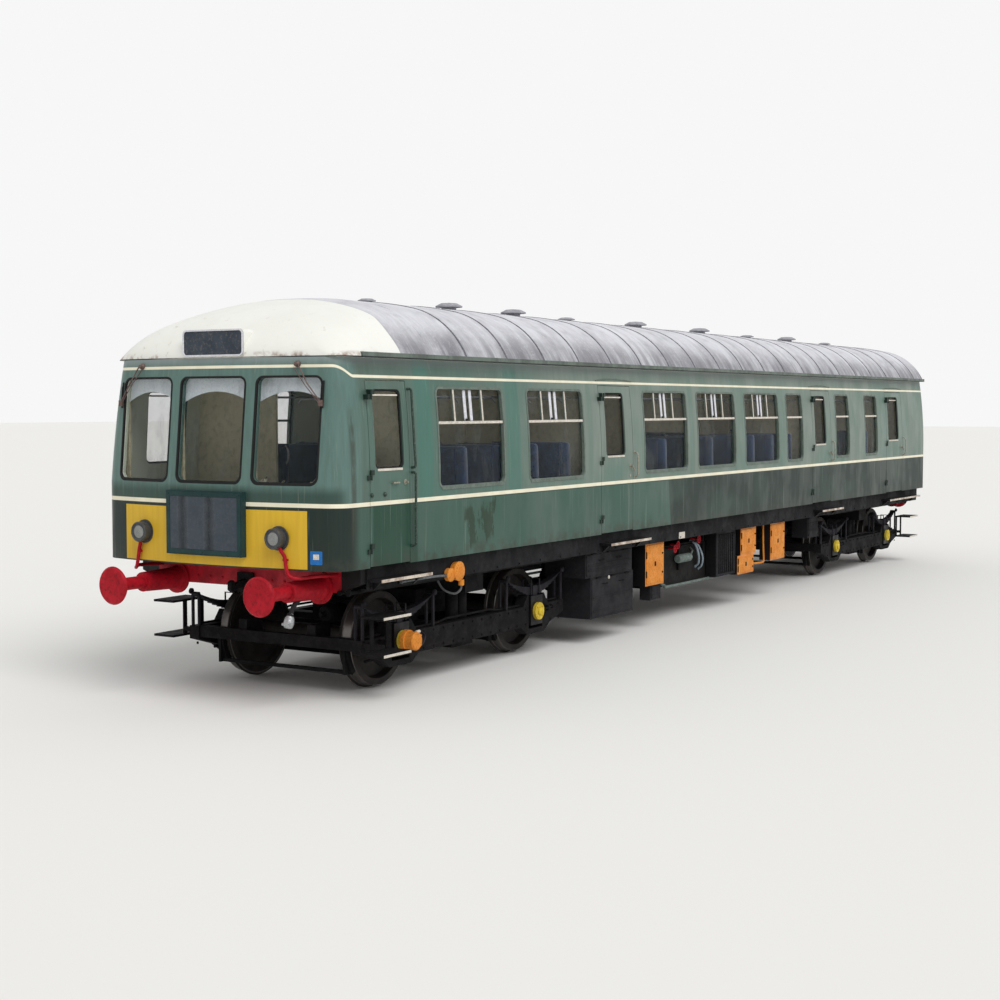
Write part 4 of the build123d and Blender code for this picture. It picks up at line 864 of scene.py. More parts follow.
# Side windows: white bars of the sliding toplights, finger catches and sills
windows = {
    "rows": [(1.91, 1.235), (3.61, 1.24), (6.33, 1.24), (7.86, 1.24), (9.41, 1.24), (10.94, 0.66),
             (12.995, 0.64), (14.375, 0.64)],
    "low": 1.913,
    "high": 2.883,
    "transom": 2.538,
    "openBars": (-0.075, 0.03),  # the two overlapping edges of the sliding panes, off the window's middle
    "barHalf": 0.023,
    "thinBars": (-0.29, 0.22),   # the outer edges of the panes
    "thinHalf": 0.012,
    "trimOut": (-0.008, -0.0035),
}
sillZ, transomZ, topZ = up(windows["low"]), up(windows["transom"]), up(windows["high"])
for sideName, side in sides.items():
    place = onSide(side)
    bars, catches, sills, trims = [bmesh.new() for number in range(4)]
    catchY = [side * (coach["half"] - leanAt(up(2.56)) - out) for out in (0.016, 0.006)]
    for start, width in windows["rows"]:
        x, middle = (along(start), along(start + width)), along(start + width / 2)
        addPlate(trims, place, grown(x, -0.026), about(transomZ, 0.013), 0.004, *windows["trimOut"])
        if width > 1:
            for offset in windows["openBars"]:
                addPlate(bars, place, about(middle + offset, windows["barHalf"]),
                         (transomZ + 0.016, topZ - 0.03), 0.004, -0.027, -0.017)
            for offset in windows["thinBars"]:
                addPlate(trims, place, about(middle + offset, windows["thinHalf"]),
                         (transomZ + 0.014, topZ - 0.026), 0.004, *windows["trimOut"])
            addBox(catches, about(middle - 0.07, 0.02), catchY, (up(2.551), up(2.575)))
        addPlate(sills, place, grown(x, -0.05), (sillZ - 0.014, sillZ + 0.004), 0.006, -0.004, 0.007)
    finishPiece(bars, f"toplightBars_{sideName}", "whiteBars", 0.002)
    finishPiece(catches, f"toplightCatches_{sideName}", "blackRubber", 0.003)
    finishPiece(sills, f"windowSills_{sideName}", "windowAlloy", 0.002)
    finishPiece(trims, f"windowTrims_{sideName}", "edgeWhite")
print("side windows done")

# Cab front: window rims, wipers, lamps with their conduits, blank plate, route box and display
cabEnd = {
    "windows": [(-1.165, -0.51), (-0.375, 0.375), (0.51, 1.165)],
    "glass": (2.02, 2.95),
    "corner": 0.06,
    "rim": 0.018,
    "pivot": (0.925, 3.067),     # of a wiper, off the middle and height
    "armEnd": (1.19, 2.73),
    "blade": (2.92, 2.68),
    "lamp": (0.8, 1.528),
    "lampRadius": 0.088,
    "lampOut": 0.09,
    "conduitY": 0.87,
    "plateY": (-1.225, -1.11),
    "plateZ": (1.305, 1.425),
    "routeHalf": 0.45,
    "route": (1.345, 1.93),
    "routeOut": 0.06,
    "blindStrips": 10,
    "displayHalf": 0.36,
    "display": (3.146, 3.392),
    "displayFront": 0.105,
}
rims = bmesh.new()
z = [up(height) for height in cabEnd["glass"]]
rim = cabEnd["rim"]
for y in cabEnd["windows"]:
    outer = rounded(grown(y, rim), (z[0] - rim * 1.4, z[1] + rim), cabEnd["corner"] + rim, 6, 8)
    hole = rounded(grown(y, -0.002), grown(z, -0.002), cabEnd["corner"], 6, 8)
    addPanel(rims, onFront, outer, -0.02, 0.003, hole)
finishPiece(rims, "frontWindowRims", "blackRubber", 0.002)

arms, blades = bmesh.new(), bmesh.new()
for side in (-1, 1):
    pivotY, pivotZ = side * cabEnd["pivot"][0], up(cabEnd["pivot"][1])
    endY, endZ = side * cabEnd["armEnd"][0], up(cabEnd["armEnd"][1])
    middleY, middleZ = (pivotY + endY) / 2, (pivotZ + endZ) / 2
    addTurned(arms, [(0.03, 0), (0.03, 0.015), (0.018, 0.03), (0.018, 0.045), (0.008, 0.05)],
              onFront(pivotY, pivotZ, -0.002), (-1, 0, 0), 16)
    addTube(arms, [onFront(pivotY + 0.02 * side, pivotZ, 0.034), onFront(middleY, middleZ, 0.05),
                   onFront(endY, endZ, 0.038)], 0.0065, 8)
    addTube(arms, [onFront(pivotY - 0.02 * side, pivotZ - 0.03, 0.03),
                   onFront(middleY - 0.02 * side, middleZ - 0.02, 0.046),
                   onFront(endY, endZ - 0.02, 0.034)], 0.0045, 8)
    addBox(arms, about(frontAt(endY, endZ) - 0.038, 0.01), about(endY, 0.02), (endZ - 0.035, endZ + 0.02))
    line = [onFront(endY + 0.005 * side, up(height), 0.012) for height in spread(*cabEnd["blade"], 7)]
    addTube(blades, line, 0.009, 6)
    addTube(blades, [point - Vector((0.012, 0, 0)) for point in line[1:-1]], 0.005, 6)
finishPiece(arms, "wiperArms", "wiperBrown", 0.002)
finishPiece(blades, "wiperBlades", "blackRubber")

lampY, lampZ = cabEnd["lamp"][0], up(cabEnd["lamp"][1])
lampX = frontAt(lampY, lampZ) - cabEnd["lampOut"]
radius = cabEnd["lampRadius"]
for sideName, side in sides.items():
    centre = Vector((lampX, side * lampY, lampZ))
    shape = bmesh.new()
    addTurned(shape, [(radius + 0.006, 0.03), (radius + 0.006, -0.004), (radius - 0.004, -0.01),
                      (radius - 0.012, -0.004), (radius - 0.012, 0)], centre, (1, 0, 0), 40)
    flange = [(radius + 0.022, 0.076), (radius + 0.022, 0.088), (radius, 0.09)]
    addTurned(shape, flange, centre, (1, 0, 0), 40)
    addBoltRing(shape, centre + Vector((0.078, 0, 0)), (-1, 0, 0), radius + 0.012, 4, 45, 0.006, 0.006)
    finishPiece(shape, f"lampRim_{sideName}", "lampGrey")
    shape = bmesh.new()
    addTurned(shape, [(0, -0.006), (radius * 0.4, -0.004), (radius * 0.75, 0.001), (radius - 0.013, 0.003)],
              centre, (1, 0, 0), 40)
    finishPiece(shape, f"lampLens_{sideName}", "lampFace")
    conduit = cabEnd["conduitY"]
    x = frontAt(conduit, up(1.4)) - 0.022
    line = [(lampX + 0.05, lampY + 0.03, 1.45), (x - 0.012, 0.845, 1.41), (x, conduit, 1.36),
            (x, 0.885, 1.27), (x + 0.01, 0.91, 1.2), (x + 0.06, 0.97, 1.175), (x + 0.2, 1.05, 1.185),
            (bowX + 0.56, 1.06, 1.17)]
    shape = bmesh.new()
    addTube(shape, curvy([(a, side * b, up(c)) for a, b, c in line], 5), 0.017, 12)
    addBox(shape, (x - 0.004, x + 0.025), about(side * conduit, 0.024), (up(1.33), up(1.35)))
    finishPiece(shape, f"lampConduit_{sideName}", "redPaint", 0.002)

shape = bmesh.new()
plateZ = [up(height) for height in cabEnd["plateZ"]]
addPlate(shape, onFront, cabEnd["plateY"], plateZ, 0.008, 0, 0.003, 3)
finishPiece(shape, "bluePlate", "bluePlate")
shape = bmesh.new()
addPlate(shape, onFront, grown(cabEnd["plateY"], -0.03), (plateZ[0] + 0.045, plateZ[1] - 0.028), 0.004,
         0.003, 0.006, 3)
finishPiece(shape, "platePaleMiddle", "edgeWhite")

routeY, out = (-cabEnd["routeHalf"], cabEnd["routeHalf"]), cabEnd["routeOut"]
routeZ = [up(height) for height in cabEnd["route"]]
shape = bmesh.new()
outline = rounded(grown(routeY, -0.01), grown(routeZ, -0.01), 0.02, 4, 10)
hole = rounded(grown(routeY, -0.05), grown(routeZ, -0.05), 0.015, 4, 10)
addPanel(shape, onFront, outline, out - 0.004, out + 0.006, hole)
for y in spread(*grown(routeY, -0.03), 3):
    for z in grown(routeZ, -0.03):
        addBolt(shape, onFront(y, z, out + 0.005), (-1, 0, 0), 0.007, 0.006)
finishPiece(shape, "routeBoxFrame", "routePaint", 0.003)
shape = bmesh.new()
low, high = grown(routeZ, -0.052)
edges = spread(*grown(routeY, -0.052), cabEnd["blindStrips"] + 1)
for left, right in zip(edges, edges[1:]):     # the blank blind in strips that follow the bow
    outline = [(left, low), (right, low), (right, high), (left, high)]
    addPanel(shape, onFront, outline, out + 0.0003, out + 0.002)
bmesh.ops.remove_doubles(shape, verts=shape.verts, dist=0.0001)
finishPiece(shape, "routeBlind", "blindFace")


def onDisplay(y, z, out):
    return Vector((bowX + cabEnd["displayFront"] - out, y, z))


shape = bmesh.new()
y, z = about(0, cabEnd["displayHalf"]), [up(height) for height in cabEnd["display"]]
addPanel(shape, onDisplay, rounded(y, z, 0.045), 0, 0.008, rounded(grown(y, -0.016), grown(z, -0.016), 0.032))
finishPiece(shape, "displayBorder", "whiteBars", 0.002)
print("cab front done")

# Roof: raised seams over it and rain strips over the doors
roofParts = {
    "firstSeam": 2.456,
    "seamPitch": 0.768,
    "lastSeam": 17.4,
    "seamHalf": 0.016,
    "seamRise": 0.006,
    "seamEnd": 0.985,            # share of the way from the middle to the gutter
    "steps": 30,
    "rainHeight": 2.985,
    "rainRise": 0.02,
}
seams = bmesh.new()
half, rise = roofParts["seamHalf"], roofParts["seamRise"]
section = [(-half, -0.002), (-half * 0.7, rise), (half * 0.7, rise), (half, -0.002)]
place = roofParts["firstSeam"]
while place < roofParts["lastSeam"]:
    rows = []
    for number in range(roofParts["steps"] + 1):
        y, z, angle = roofAt(roofParts["seamEnd"] * (2 * number / roofParts["steps"] - 1))
        normal = Vector((0, math.copysign(math.sin(angle), y), math.cos(angle)))
        base = Vector((along(place), y, z))
        rows.append([seams.verts.new(base + normal * out + Vector((offset, 0, 0)))
                     for offset, out in section])
    addRows(seams, rows)
    place += roofParts["seamPitch"]
finishPiece(seams, "roofSeams", "seamGrey")
strips = bmesh.new()
for side in (-1, 1):
    for name, start, width, offset, glass in doors["rows"][1:]:
        line = []
        for number in range(11):
            rise = roofParts["rainRise"] * math.sin(math.pi * number / 10)
            place = along(start - 0.05 + (width + 0.1) * number / 10)
            line.append(onSide(side)(place, up(roofParts["rainHeight"]) + rise, 0.006))
        addTube(strips, line, 0.006, 6)
finishPiece(strips, "rainStrips", "windowAlloy")
print("roof done")

# Seats: padded cushions and backs in the place of the plain CAD ones
seats = {
    "bays": [(1.76, 4.56), (6.32, 11.24), (13.0, 14.66)],
    "pitch": 0.7,
    "across": (0.352, 1.333),
    "cushionX": (0.116, 0.516),   # behind the seat's own place
    "cushionZ": (1.658, 1.792),
    "backX": (0.004, 0.104),
    "backZ": (1.8, 2.33),
    "backLean": -0.03,
    "crown": 0.012,
    "driverCrown": 0.008,
    "seamDepth": 0.007,
    "seamWidth": 0.012,
    "piping": 0.005,
    "squareness": 0.36,           # of a pad's section: 1 is round, 0 square
    "driver": (1.18, -0.78, 0.232),
    "grabTop": 2.33,
}
seatPlaces = []
for first, last in seats["bays"]:
    seatPlaces += [along(place) for place in spread(first, last, 1 + round((last - first) / seats["pitch"]))]


def addPad(shape, ySpan, xSpan, zSpan, lean, crown, seams, points=36):   # a crowned pad along Y
    low, high = min(ySpan), max(ySpan)
    centreX, centreZ = sum(xSpan) / 2, sum(zSpan) / 2
    halfX, halfZ = (xSpan[1] - xSpan[0]) / 2, (zSpan[1] - zSpan[0]) / 2
    flat = halfX > halfZ          # a cushion, not a back
    soft = 0.7 * min(halfX, halfZ)
    places = {low + (high - low) * (0.5 - 0.5 * math.cos(math.pi * number / 20)) for number in range(21)}
    seamPlaces = [low + (high - low) * share for share in seams]
    for seam in seamPlaces:
        places |= {seam + offset for offset in (-0.024, -0.012, -0.005, 0, 0.005, 0.012, 0.024)}
    rings = []
    for y in sorted(places):
        gap = min(y - low, high - y)
        inset = soft - math.sqrt(soft ** 2 - (soft - gap) ** 2) if gap < soft else 0
        share = 1 - ((y - (low + high) / 2) / (high - low) * 2) ** 2
        groove = sum(seats["seamDepth"] * math.exp(-((y - seam) / seats["seamWidth"]) ** 2)
                     for seam in seamPlaces)
        ring = []
        for number in range(points):
            turn = 2 * math.pi * number / points
            cosine, sine = math.cos(turn), math.sin(turn)
            x = math.copysign(abs(cosine) ** seats["squareness"], cosine)
            z = math.copysign(abs(sine) ** seats["squareness"], sine)
            bulge = crown * share * (1 - x * x if flat else 1 - z * z)
            offX = x * (halfX - inset * 0.8 - groove) + (0 if flat else math.copysign(bulge, x))
            offZ = z * (halfZ - inset * 0.8 - groove) + (max(bulge, 0) if flat and z > 0 else 0)
            ring.append(Vector((centreX + offX + lean * (offZ / halfZ) * 0.5, y, centreZ + offZ)))
        rings.append(ring)
    addRows(shape, [[shape.verts.new(point) for point in ring] for ring in rings])
    return rings


cushions, backs, piping, grabs = [bmesh.new() for number in range(4)]
for x in seatPlaces:
    for side in (-1, 1):
        ySpan = [side * y for y in seats["across"]]
        for shape, part, lean in ((cushions, "cushion", 0), (backs, "back", seats["backLean"])):
            xSpan, zSpan = [x + value for value in seats[part + "X"]], seats[part + "Z"]
            rings = addPad(shape, ySpan, xSpan, zSpan, lean, seats["crown"], (0.5,))
            for ring in (rings[4], rings[-5]):
                addTube(piping, ring + [ring[0]], seats["piping"], 5)
        line = [(0.36, up(2.12)), (0.33, up(2.16)), (0.33, up(2.25)), (0.36, seats["grabTop"])]
        addTube(grabs, curvy([(x + 0.045, side * y, z) for y, z in line], 4), 0.01, 8)
driverX, driverY, driverHalf = along(seats["driver"][0]), seats["driver"][1], seats["driver"][2]
ySpan, crown = about(driverY, driverHalf), seats["driverCrown"]
addPad(cushions, ySpan, about(driverX, driverHalf), (1.757, 1.85), 0, crown, (0.33, 0.67))
addPad(backs, ySpan, (driverX + 0.158, driverX + 0.232), (1.853, 2.352), 0, crown, (0.33, 0.67))
for shape, name, node in ((cushions, "seatCushions", "seat_cushions"), (backs, "seatBacks", "seat_backs")):
    piece = finishPiece(shape, name, "seatCloth", angle=60)
    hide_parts(node)
finishPiece(piping, "seatPiping", "clothEdge")
finishPiece(grabs, "seatGrabs", "castSilver")
print("seats done")

# Saloons and cab inside: lamp bowls, luggage racks, pale blinds in the cab windows that paint the sky's
# reflection, pillars and things on the desk
inside = {
    "lampRow": [2.6, 4.1, 6.9, 8.4, 9.9, 11.4, 13.3, 14.6],
    "lampY": 0.42,
    "lampZ": 3.61,
    "racks": [(1.72, 5.0), (6.24, 11.7), (12.95, 15.1)],
    "rackY": (1.235, 1.13, 1.03),
    "rackZ": 2.79,
    "bracketPitch": 0.7,
    "reflectionBlindLow": 2.83,
    "reflectionBlindSag": 0.1,              # the pale sheets' lower edge curves lower at the sides, the shape of the painted sky reflection
    "reflectionBlindTop": 2.97,
    "pillars": (-1.2, -0.43, 0.43, 1.2),
    "deskTop": 1.96,
    "controls": [(0.36, -0.95, 0.045, 0.06), (0.34, -0.6, 0.05, 0.04), (0.36, -0.38, 0.04, 0.07)],
}
shape = bmesh.new()
for place in inside["lampRow"]:
    for y in (-inside["lampY"], inside["lampY"]):
        addTurned(shape, [(0.075, 0), (0.1, 0.01), (0.1, 0.02), (0.085, 0.05), (0.05, 0.07), (0, 0.078)],
                  at(place, y, inside["lampZ"]), (0, 0, -1))
finishPiece(shape, "saloonLamps", "lampBowl")
shape = bmesh.new()
for start, end in inside["racks"]:
    for side in (-1, 1):
        for y in inside["rackY"]:
            addTube(shape, [at(place, side * y, inside["rackZ"]) for place in (start, end)], 0.011, 8)
        for number in range(round((end - start) / inside["bracketPitch"]) + 1):
            place = start + 0.05 + number * inside["bracketPitch"]
            if place < end:
                addTube(shape, [at(place, side * y, inside["rackZ"] + z)
                                for y, z in ((1.27, -0.06), (1.22, -0.014), (1.02, -0.014))], 0.009, 6)
finishPiece(shape, "luggageRacks", "castSilver")
# Painted reflection: pale blinds behind the cab windows, with a curved lower edge, stand for the sky
# reflected in the glass
shape = bmesh.new()
for left, right in cabEnd["windows"]:
    rows = []
    for number in range(13):
        y = left - 0.02 + (right - left + 0.04) * number / 12
        low = up(inside["reflectionBlindLow"]) - inside["reflectionBlindSag"] * (number / 6 - 1) ** 2
        high = up(inside["reflectionBlindTop"])
        rows.append([shape.verts.new((frontAt(y, z) + depth, y, z))
                     for depth, z in ((0.07, low), (0.07, high), (0.076, high), (0.076, low))])
    addRows(shape, rows)
finishPiece(shape, "cabBlindsAsSkyReflection", "blindAsSkyReflection")
deskTop = up(inside["deskTop"])
shape = bmesh.new()
for y in inside["pillars"]:
    x = frontAt(y, up(2.5)) + 0.09
    addBox(shape, about(x, 0.015), about(y, 0.028), (deskTop, up(2.99)))
finishPiece(shape, "cabPillars", "pillarPaint", 0.006)
shape = bmesh.new()
for x, y, radius, height in inside["controls"]:
    foot = Vector((bowX + x, y, deskTop))
    knob = [(radius, 0), (radius, height * 0.7), (radius * 0.8, height), (0, height)]
    addTurned(shape, knob, foot, (0, 0, 1), 20)
    addTube(shape, [foot + Vector((0, 0, height)), foot + Vector((0.09, 0.05, height + 0.015))], 0.009, 8)
finishPiece(shape, "deskControls", "doorBrass")
shape = bmesh.new()
addBox(shape, (bowX + 0.2, bowX + 0.4), (-0.83, -0.66), (deskTop + 0.001, deskTop + 0.018))
addBox(shape, (bowX + 0.22, bowX + 0.38), (-0.815, -0.675), (deskTop + 0.017, deskTop + 0.024))
finishPiece(shape, "deskPapers", "whiteBars", 0.002)
print("inside done")

# Under the floor: lids and latches of the boxes. Columns: name, place, length, low, high, face, lid's finish
boxes = {
    "rows": [("controlA", 6.62, 0.51, 0.515, 1.035, 1.285, "orangePaint"),
             ("controlB", 9.56, 0.54, 0.66, 1.035, 1.285, "orangePaint"),
             ("controlC", 9.45, 0.57, 0.405, 0.66, 1.285, "orangePaint"),
             ("controlD", 10.64, 0.545, 0.505, 1.035, 1.285, "orangePaint"),
             ("batteryLow", 5.24, 1.07, 0.27, 0.75, 1.27, "batteryPaint"),
             ("batteryHigh", 5.085, 1.165, 0.75, 1.035, 1.285, "batteryPaint")],
    "margin": 0.024,
    "rise": 0.008,
}


def onPlane(side, face):  # (along, up, out) on an upright plane along the car
    def place(x, z, out):
        return Vector((x, side * (face + out), z))
    return place


for name, start, length, low, high, face, finish in boxes["rows"]:
    place, rise = onPlane(-1, face), boxes["rise"]
    x = grown((along(start), along(start + length)), -boxes["margin"])
    z = grown((up(low), up(high)), -boxes["margin"])
    shape, fittings = bmesh.new(), bmesh.new()
    addPlate(shape, place, x, z, 0.012, -0.001, rise, 3)
    if name.startswith("battery"):
        for height in (z[0] + 0.06, (z[0] + z[1]) / 2):
            addPlate(shape, place, grown(x, -0.03), about(height, 0.008), 0.004, rise, rise + 0.006)
        for share in (0.15, 0.5, 0.85):
            hinge = x[0] + (x[1] - x[0]) * share
            addTube(fittings, [place(end, z[1] + 0.006, 0.01) for end in about(hinge, 0.05)], 0.008, 8)
        for share in (0.3, 0.7):
            handle = x[0] + (x[1] - x[0]) * share
            line = [(-0.05, 0.006), (-0.045, 0.03), (0.045, 0.03), (0.05, 0.006)]
            line = [place(handle + end, z[1] - 0.07, out) for end, out in line]
            addTube(fittings, curvy(line, 3), 0.006, 6)
    else:
        for share in (0.25, 0.75):
            height = z[0] + (z[1] - z[0]) * share
            addTube(fittings, [place(x[0] - 0.004, end, 0.006) for end in about(height, 0.04)], 0.008, 8)
            addBolt(fittings, place(x[1] - 0.03, height, rise), (0, -1, 0), 0.009, 0.01)
        addPlate(fittings, place, about(sum(x) / 2, 0.02), about(sum(z) / 2, 0.028), 0.005,
                 rise - 0.001, rise + 0.003)
    finishPiece(shape, f"{name}_lid", finish, 0.002)
    finishPiece(fittings, f"{name}_fittings", "underframeBlackShaded")
shape = bmesh.new()
addTurned(shape, [(0.02, 0), (0.02, 0.006), (0.012, 0.01)], at(5.67, -1.278, 0.72), (0, -1, 0), 14)
addPlate(shape, onPlane(-1, 1.335), (along(7.46), along(7.63)), (up(1.04), up(1.12)), 0.006, -0.001, 0.004, 3)
finishPiece(shape, "palePlates", "edgeWhite")

# Orange junction box on the solebar, two lobes with a gland below. Columns: place, height, radius, depth
junction = {"lobes": [(2.3, 1.09, 0.09, 0.07), (2.17, 1.065, 0.064, 0.055)], "face": -1.335}
shape = bmesh.new()
for place, height, radius, depth in junction["lobes"]:
    centre = at(place, junction["face"], height)
    addTurned(shape, [(radius, 0), (radius, depth * 0.6), (radius * 1.06, depth * 0.62),
                      (radius * 1.06, depth * 0.8), (radius * 0.8, depth * 0.95), (radius * 0.2, depth)],
              centre, (0, -1, 0), 32)
    addBoltRing(shape, centre - Vector((0, depth * 0.82, 0)), (0, -1, 0), radius * 0.9, 6, 30, 0.006, 0.006)
addTurned(shape, [(0.03, 0), (0.03, 0.05), (0.02, 0.06)], at(2.36, -1.37, 1.0), (0, 0, -1), 16)
finishPiece(shape, "junctionBox", "orangePaint")

# Pipes and stiff conduits. Columns: name, finish, radius, far side too, points (place, across, height)
pipes = [
    ("junctionConduit", "cableGrey", 0.011, False,
     [(2.36, -1.37, 0.95), (2.36, -1.36, 0.9), (2.34, -1.3, 0.86), (2.3, -1.2, 0.9), (2.28, -1.14, 1.0),
      (2.28, -1.13, 1.05)]),
    ("solebarConduit", "cableGrey", 0.012, True,
     [(1.36, -1.352, 1.07), (1.9, -1.352, 1.07), (2.1, -1.352, 1.06)]),
    ("orangeConduit", "orangePaint", 0.014, False,
     [(10.57, -1.2, 1.05), (10.58, -1.2, 0.75), (10.6, -1.2, 0.52), (10.55, -1.2, 0.485), (10.35, -1.2, 0.49),
      (10.0, -1.2, 0.5)]),
    ("enginePipe", "filterGrey", 0.018, True,
     [(7.4, -1.06, 0.5), (7.46, -1.14, 0.44), (7.6, -1.15, 0.42), (9.2, -1.15, 0.42), (9.4, -1.13, 0.45)]),
    ("hoseLeft", "hoseSilver", 0.017, True,
     [(8.34, -1.09, 0.94), (8.36, -1.15, 0.9), (8.42, -1.17, 0.76), (8.48, -1.14, 0.64), (8.48, -1.09, 0.6)]),
    ("hoseRight", "hoseSilver", 0.015, True,
     [(8.44, -1.09, 0.92), (8.46, -1.15, 0.87), (8.55, -1.17, 0.72), (8.58, -1.14, 0.6),
      (8.58, -1.09, 0.56)]),
    ("brakePipe", "underframeBlackShaded", 0.02, True, [(0.75, -1.2, 1.015), (4.9, -1.2, 1.015)]),
    ("airPipe", "underframeBlackShaded", 0.016, True, [(0.75, -1.1, 1.01), (5.06, -1.1, 1.01)]),
    ("rearBrakePipe", "underframeBlackShaded", 0.02, True, [(13.2, -1.2, 1.015), (17.2, -1.2, 1.015)]),
    ("rearAirPipe", "underframeBlackShaded", 0.016, True, [(11.3, -1.1, 1.01), (17.2, -1.1, 1.01)]),
    ("jumperPipe", "blackRubber", 0.022, False,
     [(0.62, -0.9, 1.02), (0.5, -0.9, 1.0), (0.36, -0.9, 0.94), (0.29, -0.9, 0.84)]),
    ("exhaustPipe", "underframeBlackShaded", 0.045, False,
     [(7.3, 0, 0.88), (7.9, 0.05, 0.93), (9.3, 0.1, 0.93), (11.3, 0.15, 0.9)]),
]
hangerPitch = 0.8            # straight pipes hang from the floor at this distance
for name, finish, radius, both, points in pipes:
    for ending, flip in (("", 1), ("_far", -1)) if both else (("", 1),):
        shape = bmesh.new()
        line = [at(place, y * flip, height) for place, y, height in points]
        straight = len(line) == 2
        addTube(shape, line if straight else curvy(line, 5), radius, 12)
        for end, way in ((line[0], line[1] - line[0]), (line[-1], line[-1] - line[-2])):
            addTurned(shape, [(radius * 1.5, -0.012), (radius * 1.5, 0.012)], end, way, 12)
        if straight:
            count = int((line[1].x - line[0].x) / hangerPitch)
            for x in spread(line[0].x, line[1].x, count + 1)[1:-1]:
                addTube(shape, [(x, line[0].y, line[0].z), (x, line[0].y, up(1.05))], 0.008, 6)
        finishPiece(shape, f"{name}{ending}", finish)
shape = bmesh.new()
addTurned(shape, [(0.024, -0.02), (0.03, 0), (0.042, 0.02), (0.048, 0.07), (0.04, 0.1), (0.03, 0.11),
                  (0, 0.105)], at(0.29, -0.9, 0.84), (-0.35, 0, -1))
addTube(shape, [at(0.24, y, 0.77) for y in (-0.95, -0.85)], 0.013, 8)
finishPiece(shape, "jumperHead", "castSilver")

# Filters, red valves and the pipes between them. Columns of the valves: place, height
valves = {"hubs": [(7.68, 0.94), (8.32, 0.97), (7.6, 0.9)], "y": 1.16, "wheel": 0.045, "reach": 0.06}
filters, handles, rods = bmesh.new(), bmesh.new(), bmesh.new()
for side in (-1, 1):
    addTurned(filters, [(0, 0), (0.045, 0.004), (0.055, 0.03), (0.055, 0.35), (0.045, 0.376), (0, 0.38)],
              at(7.79, side * valves["y"], 0.75), (1, 0, 0))
    for place in (7.86, 8.1):
        addBox(filters, (along(place), along(place) + 0.03), (side * 1.09, side * 1.17), (up(0.72), up(0.78)))
    addTube(filters, [at(place, side * y, height) for place, y, height in
                      ((8.17, 1.16, 0.75), (8.3, 1.14, 0.82), (8.32, 1.09, 0.86))], 0.014, 8)
    for place, height in valves["hubs"]:
        hub, out = at(place, side * valves["y"], height), Vector((0, side * valves["reach"], 0))
        turns = [number * math.pi / 6 for number in range(13)]
        rim = [hub + out + valves["wheel"] * Vector((math.cos(turn), 0, math.sin(turn))) for turn in turns]
        addTube(handles, [hub, hub + out], 0.012, 8)
        addTube(handles, rim, 0.008, 6)
        for spoke in (0, 4, 8):
            addTube(handles, [rim[spoke], rim[(spoke + 6) % 12]], 0.005, 5)
        addTube(handles, [hub, hub - out / 3, hub - out], 0.016, 8)
    for height in (0.93, 0.9):
        addTube(rods, [at(place, side * 1.12, height) for place in (7.3, 8.7)], 0.012, 8)
    for place in (7.35, 7.9, 8.65):
        addBox(rods, (along(place), along(place) + 0.03), (side * 1.08, side * 1.13), (up(0.6), up(1.04)))
finishPiece(filters, "filters", "filterGrey", 0.002)
finishPiece(handles, "redValves", "redPaint")
finishPiece(rods, "valvePipes", "underframeBlackShaded")

# Dark cases with a lid, ribs and bolts on the outer side. Columns: place, end, across, low, high
cases = [(6.84, 7.14, -1.24, -1.1, 0.32, 0.515), (7.2, 8.6, 0.96, 1.24, 0.5, 1.035),
         (11.4, 12.1, 0.98, 1.22, 0.45, 1.035), (4.95, 5.25, 0.7, 1.2, 0.6, 1.035),
         (12.35, 12.8, -1.2, -0.95, 0.7, 1.035), (12.35, 12.8, 0.6, 1.2, 0.6, 1.035)]
shape = bmesh.new()
for start, end, first, last, low, high in cases:
    side = math.copysign(1, last)
    face = max(abs(first), abs(last))
    x, z, place = (along(start), along(end)), (up(low), up(high)), onPlane(side, face)
    addBox(shape, x, (first, last), z)
    addPlate(shape, place, grown(x, -0.025), grown(z, -0.025), 0.012, -0.001, 0.008, 3)
    for share in (0.35, 0.65):
        rib = about(z[0] + (z[1] - z[0]) * share, 0.006)
        addPlate(shape, place, grown(x, -0.04), rib, 0.004, 0.008, 0.014)
    for a in grown(x, -0.04):
        for b in grown(z, -0.04):
            addBolt(shape, place(a, b, 0.008), (0, side, 0), 0.007, 0.007)
finishPiece(shape, "darkCases", "batteryPaint", 0.003)

# Gearboxes between the engines and the bogies, their shafts and hangers. Rows: side, place, way to the bogie
gearboxes = {
    "rows": [(-1, 7.1, -1), (1, 11.3, 1)],
    "y": 0.42,
    "height": 0.64,
    "flange": 0.245,
    "section": [(0, 0), (0.16, 0.004), (0.2, 0.05), (0.2, 0.2), (0.27, 0.24), (0.27, 0.34), (0.24, 0.36),
                (0.24, 0.9), (0.27, 0.92), (0.27, 0.98), (0.2, 1.02), (0.15, 1.3), (0.11, 1.34),
                (0.05, 1.35), (0.05, 1.78), (0.08, 1.8), (0.08, 1.86), (0, 1.87)],
}
shape = bmesh.new()
for side, place, way in gearboxes["rows"]:
    start = at(place, side * gearboxes["y"], gearboxes["height"])
    addTurned(shape, gearboxes["section"], start, (way, 0, 0), 28)
    for reach in (0.3, 0.95):
        for y in about(start.y, 0.27):
            addBox(shape, about(start.x + way * reach, 0.03), about(y, 0.03), (up(0.6), up(1.04)))
    flange = start + Vector((way * 0.24, 0, 0))
    addBoltRing(shape, flange, (-way, 0, 0), gearboxes["flange"], 12, 0, 0.01, 0.012)
finishPiece(shape, "gearboxes", "engineMetal", 0.003)

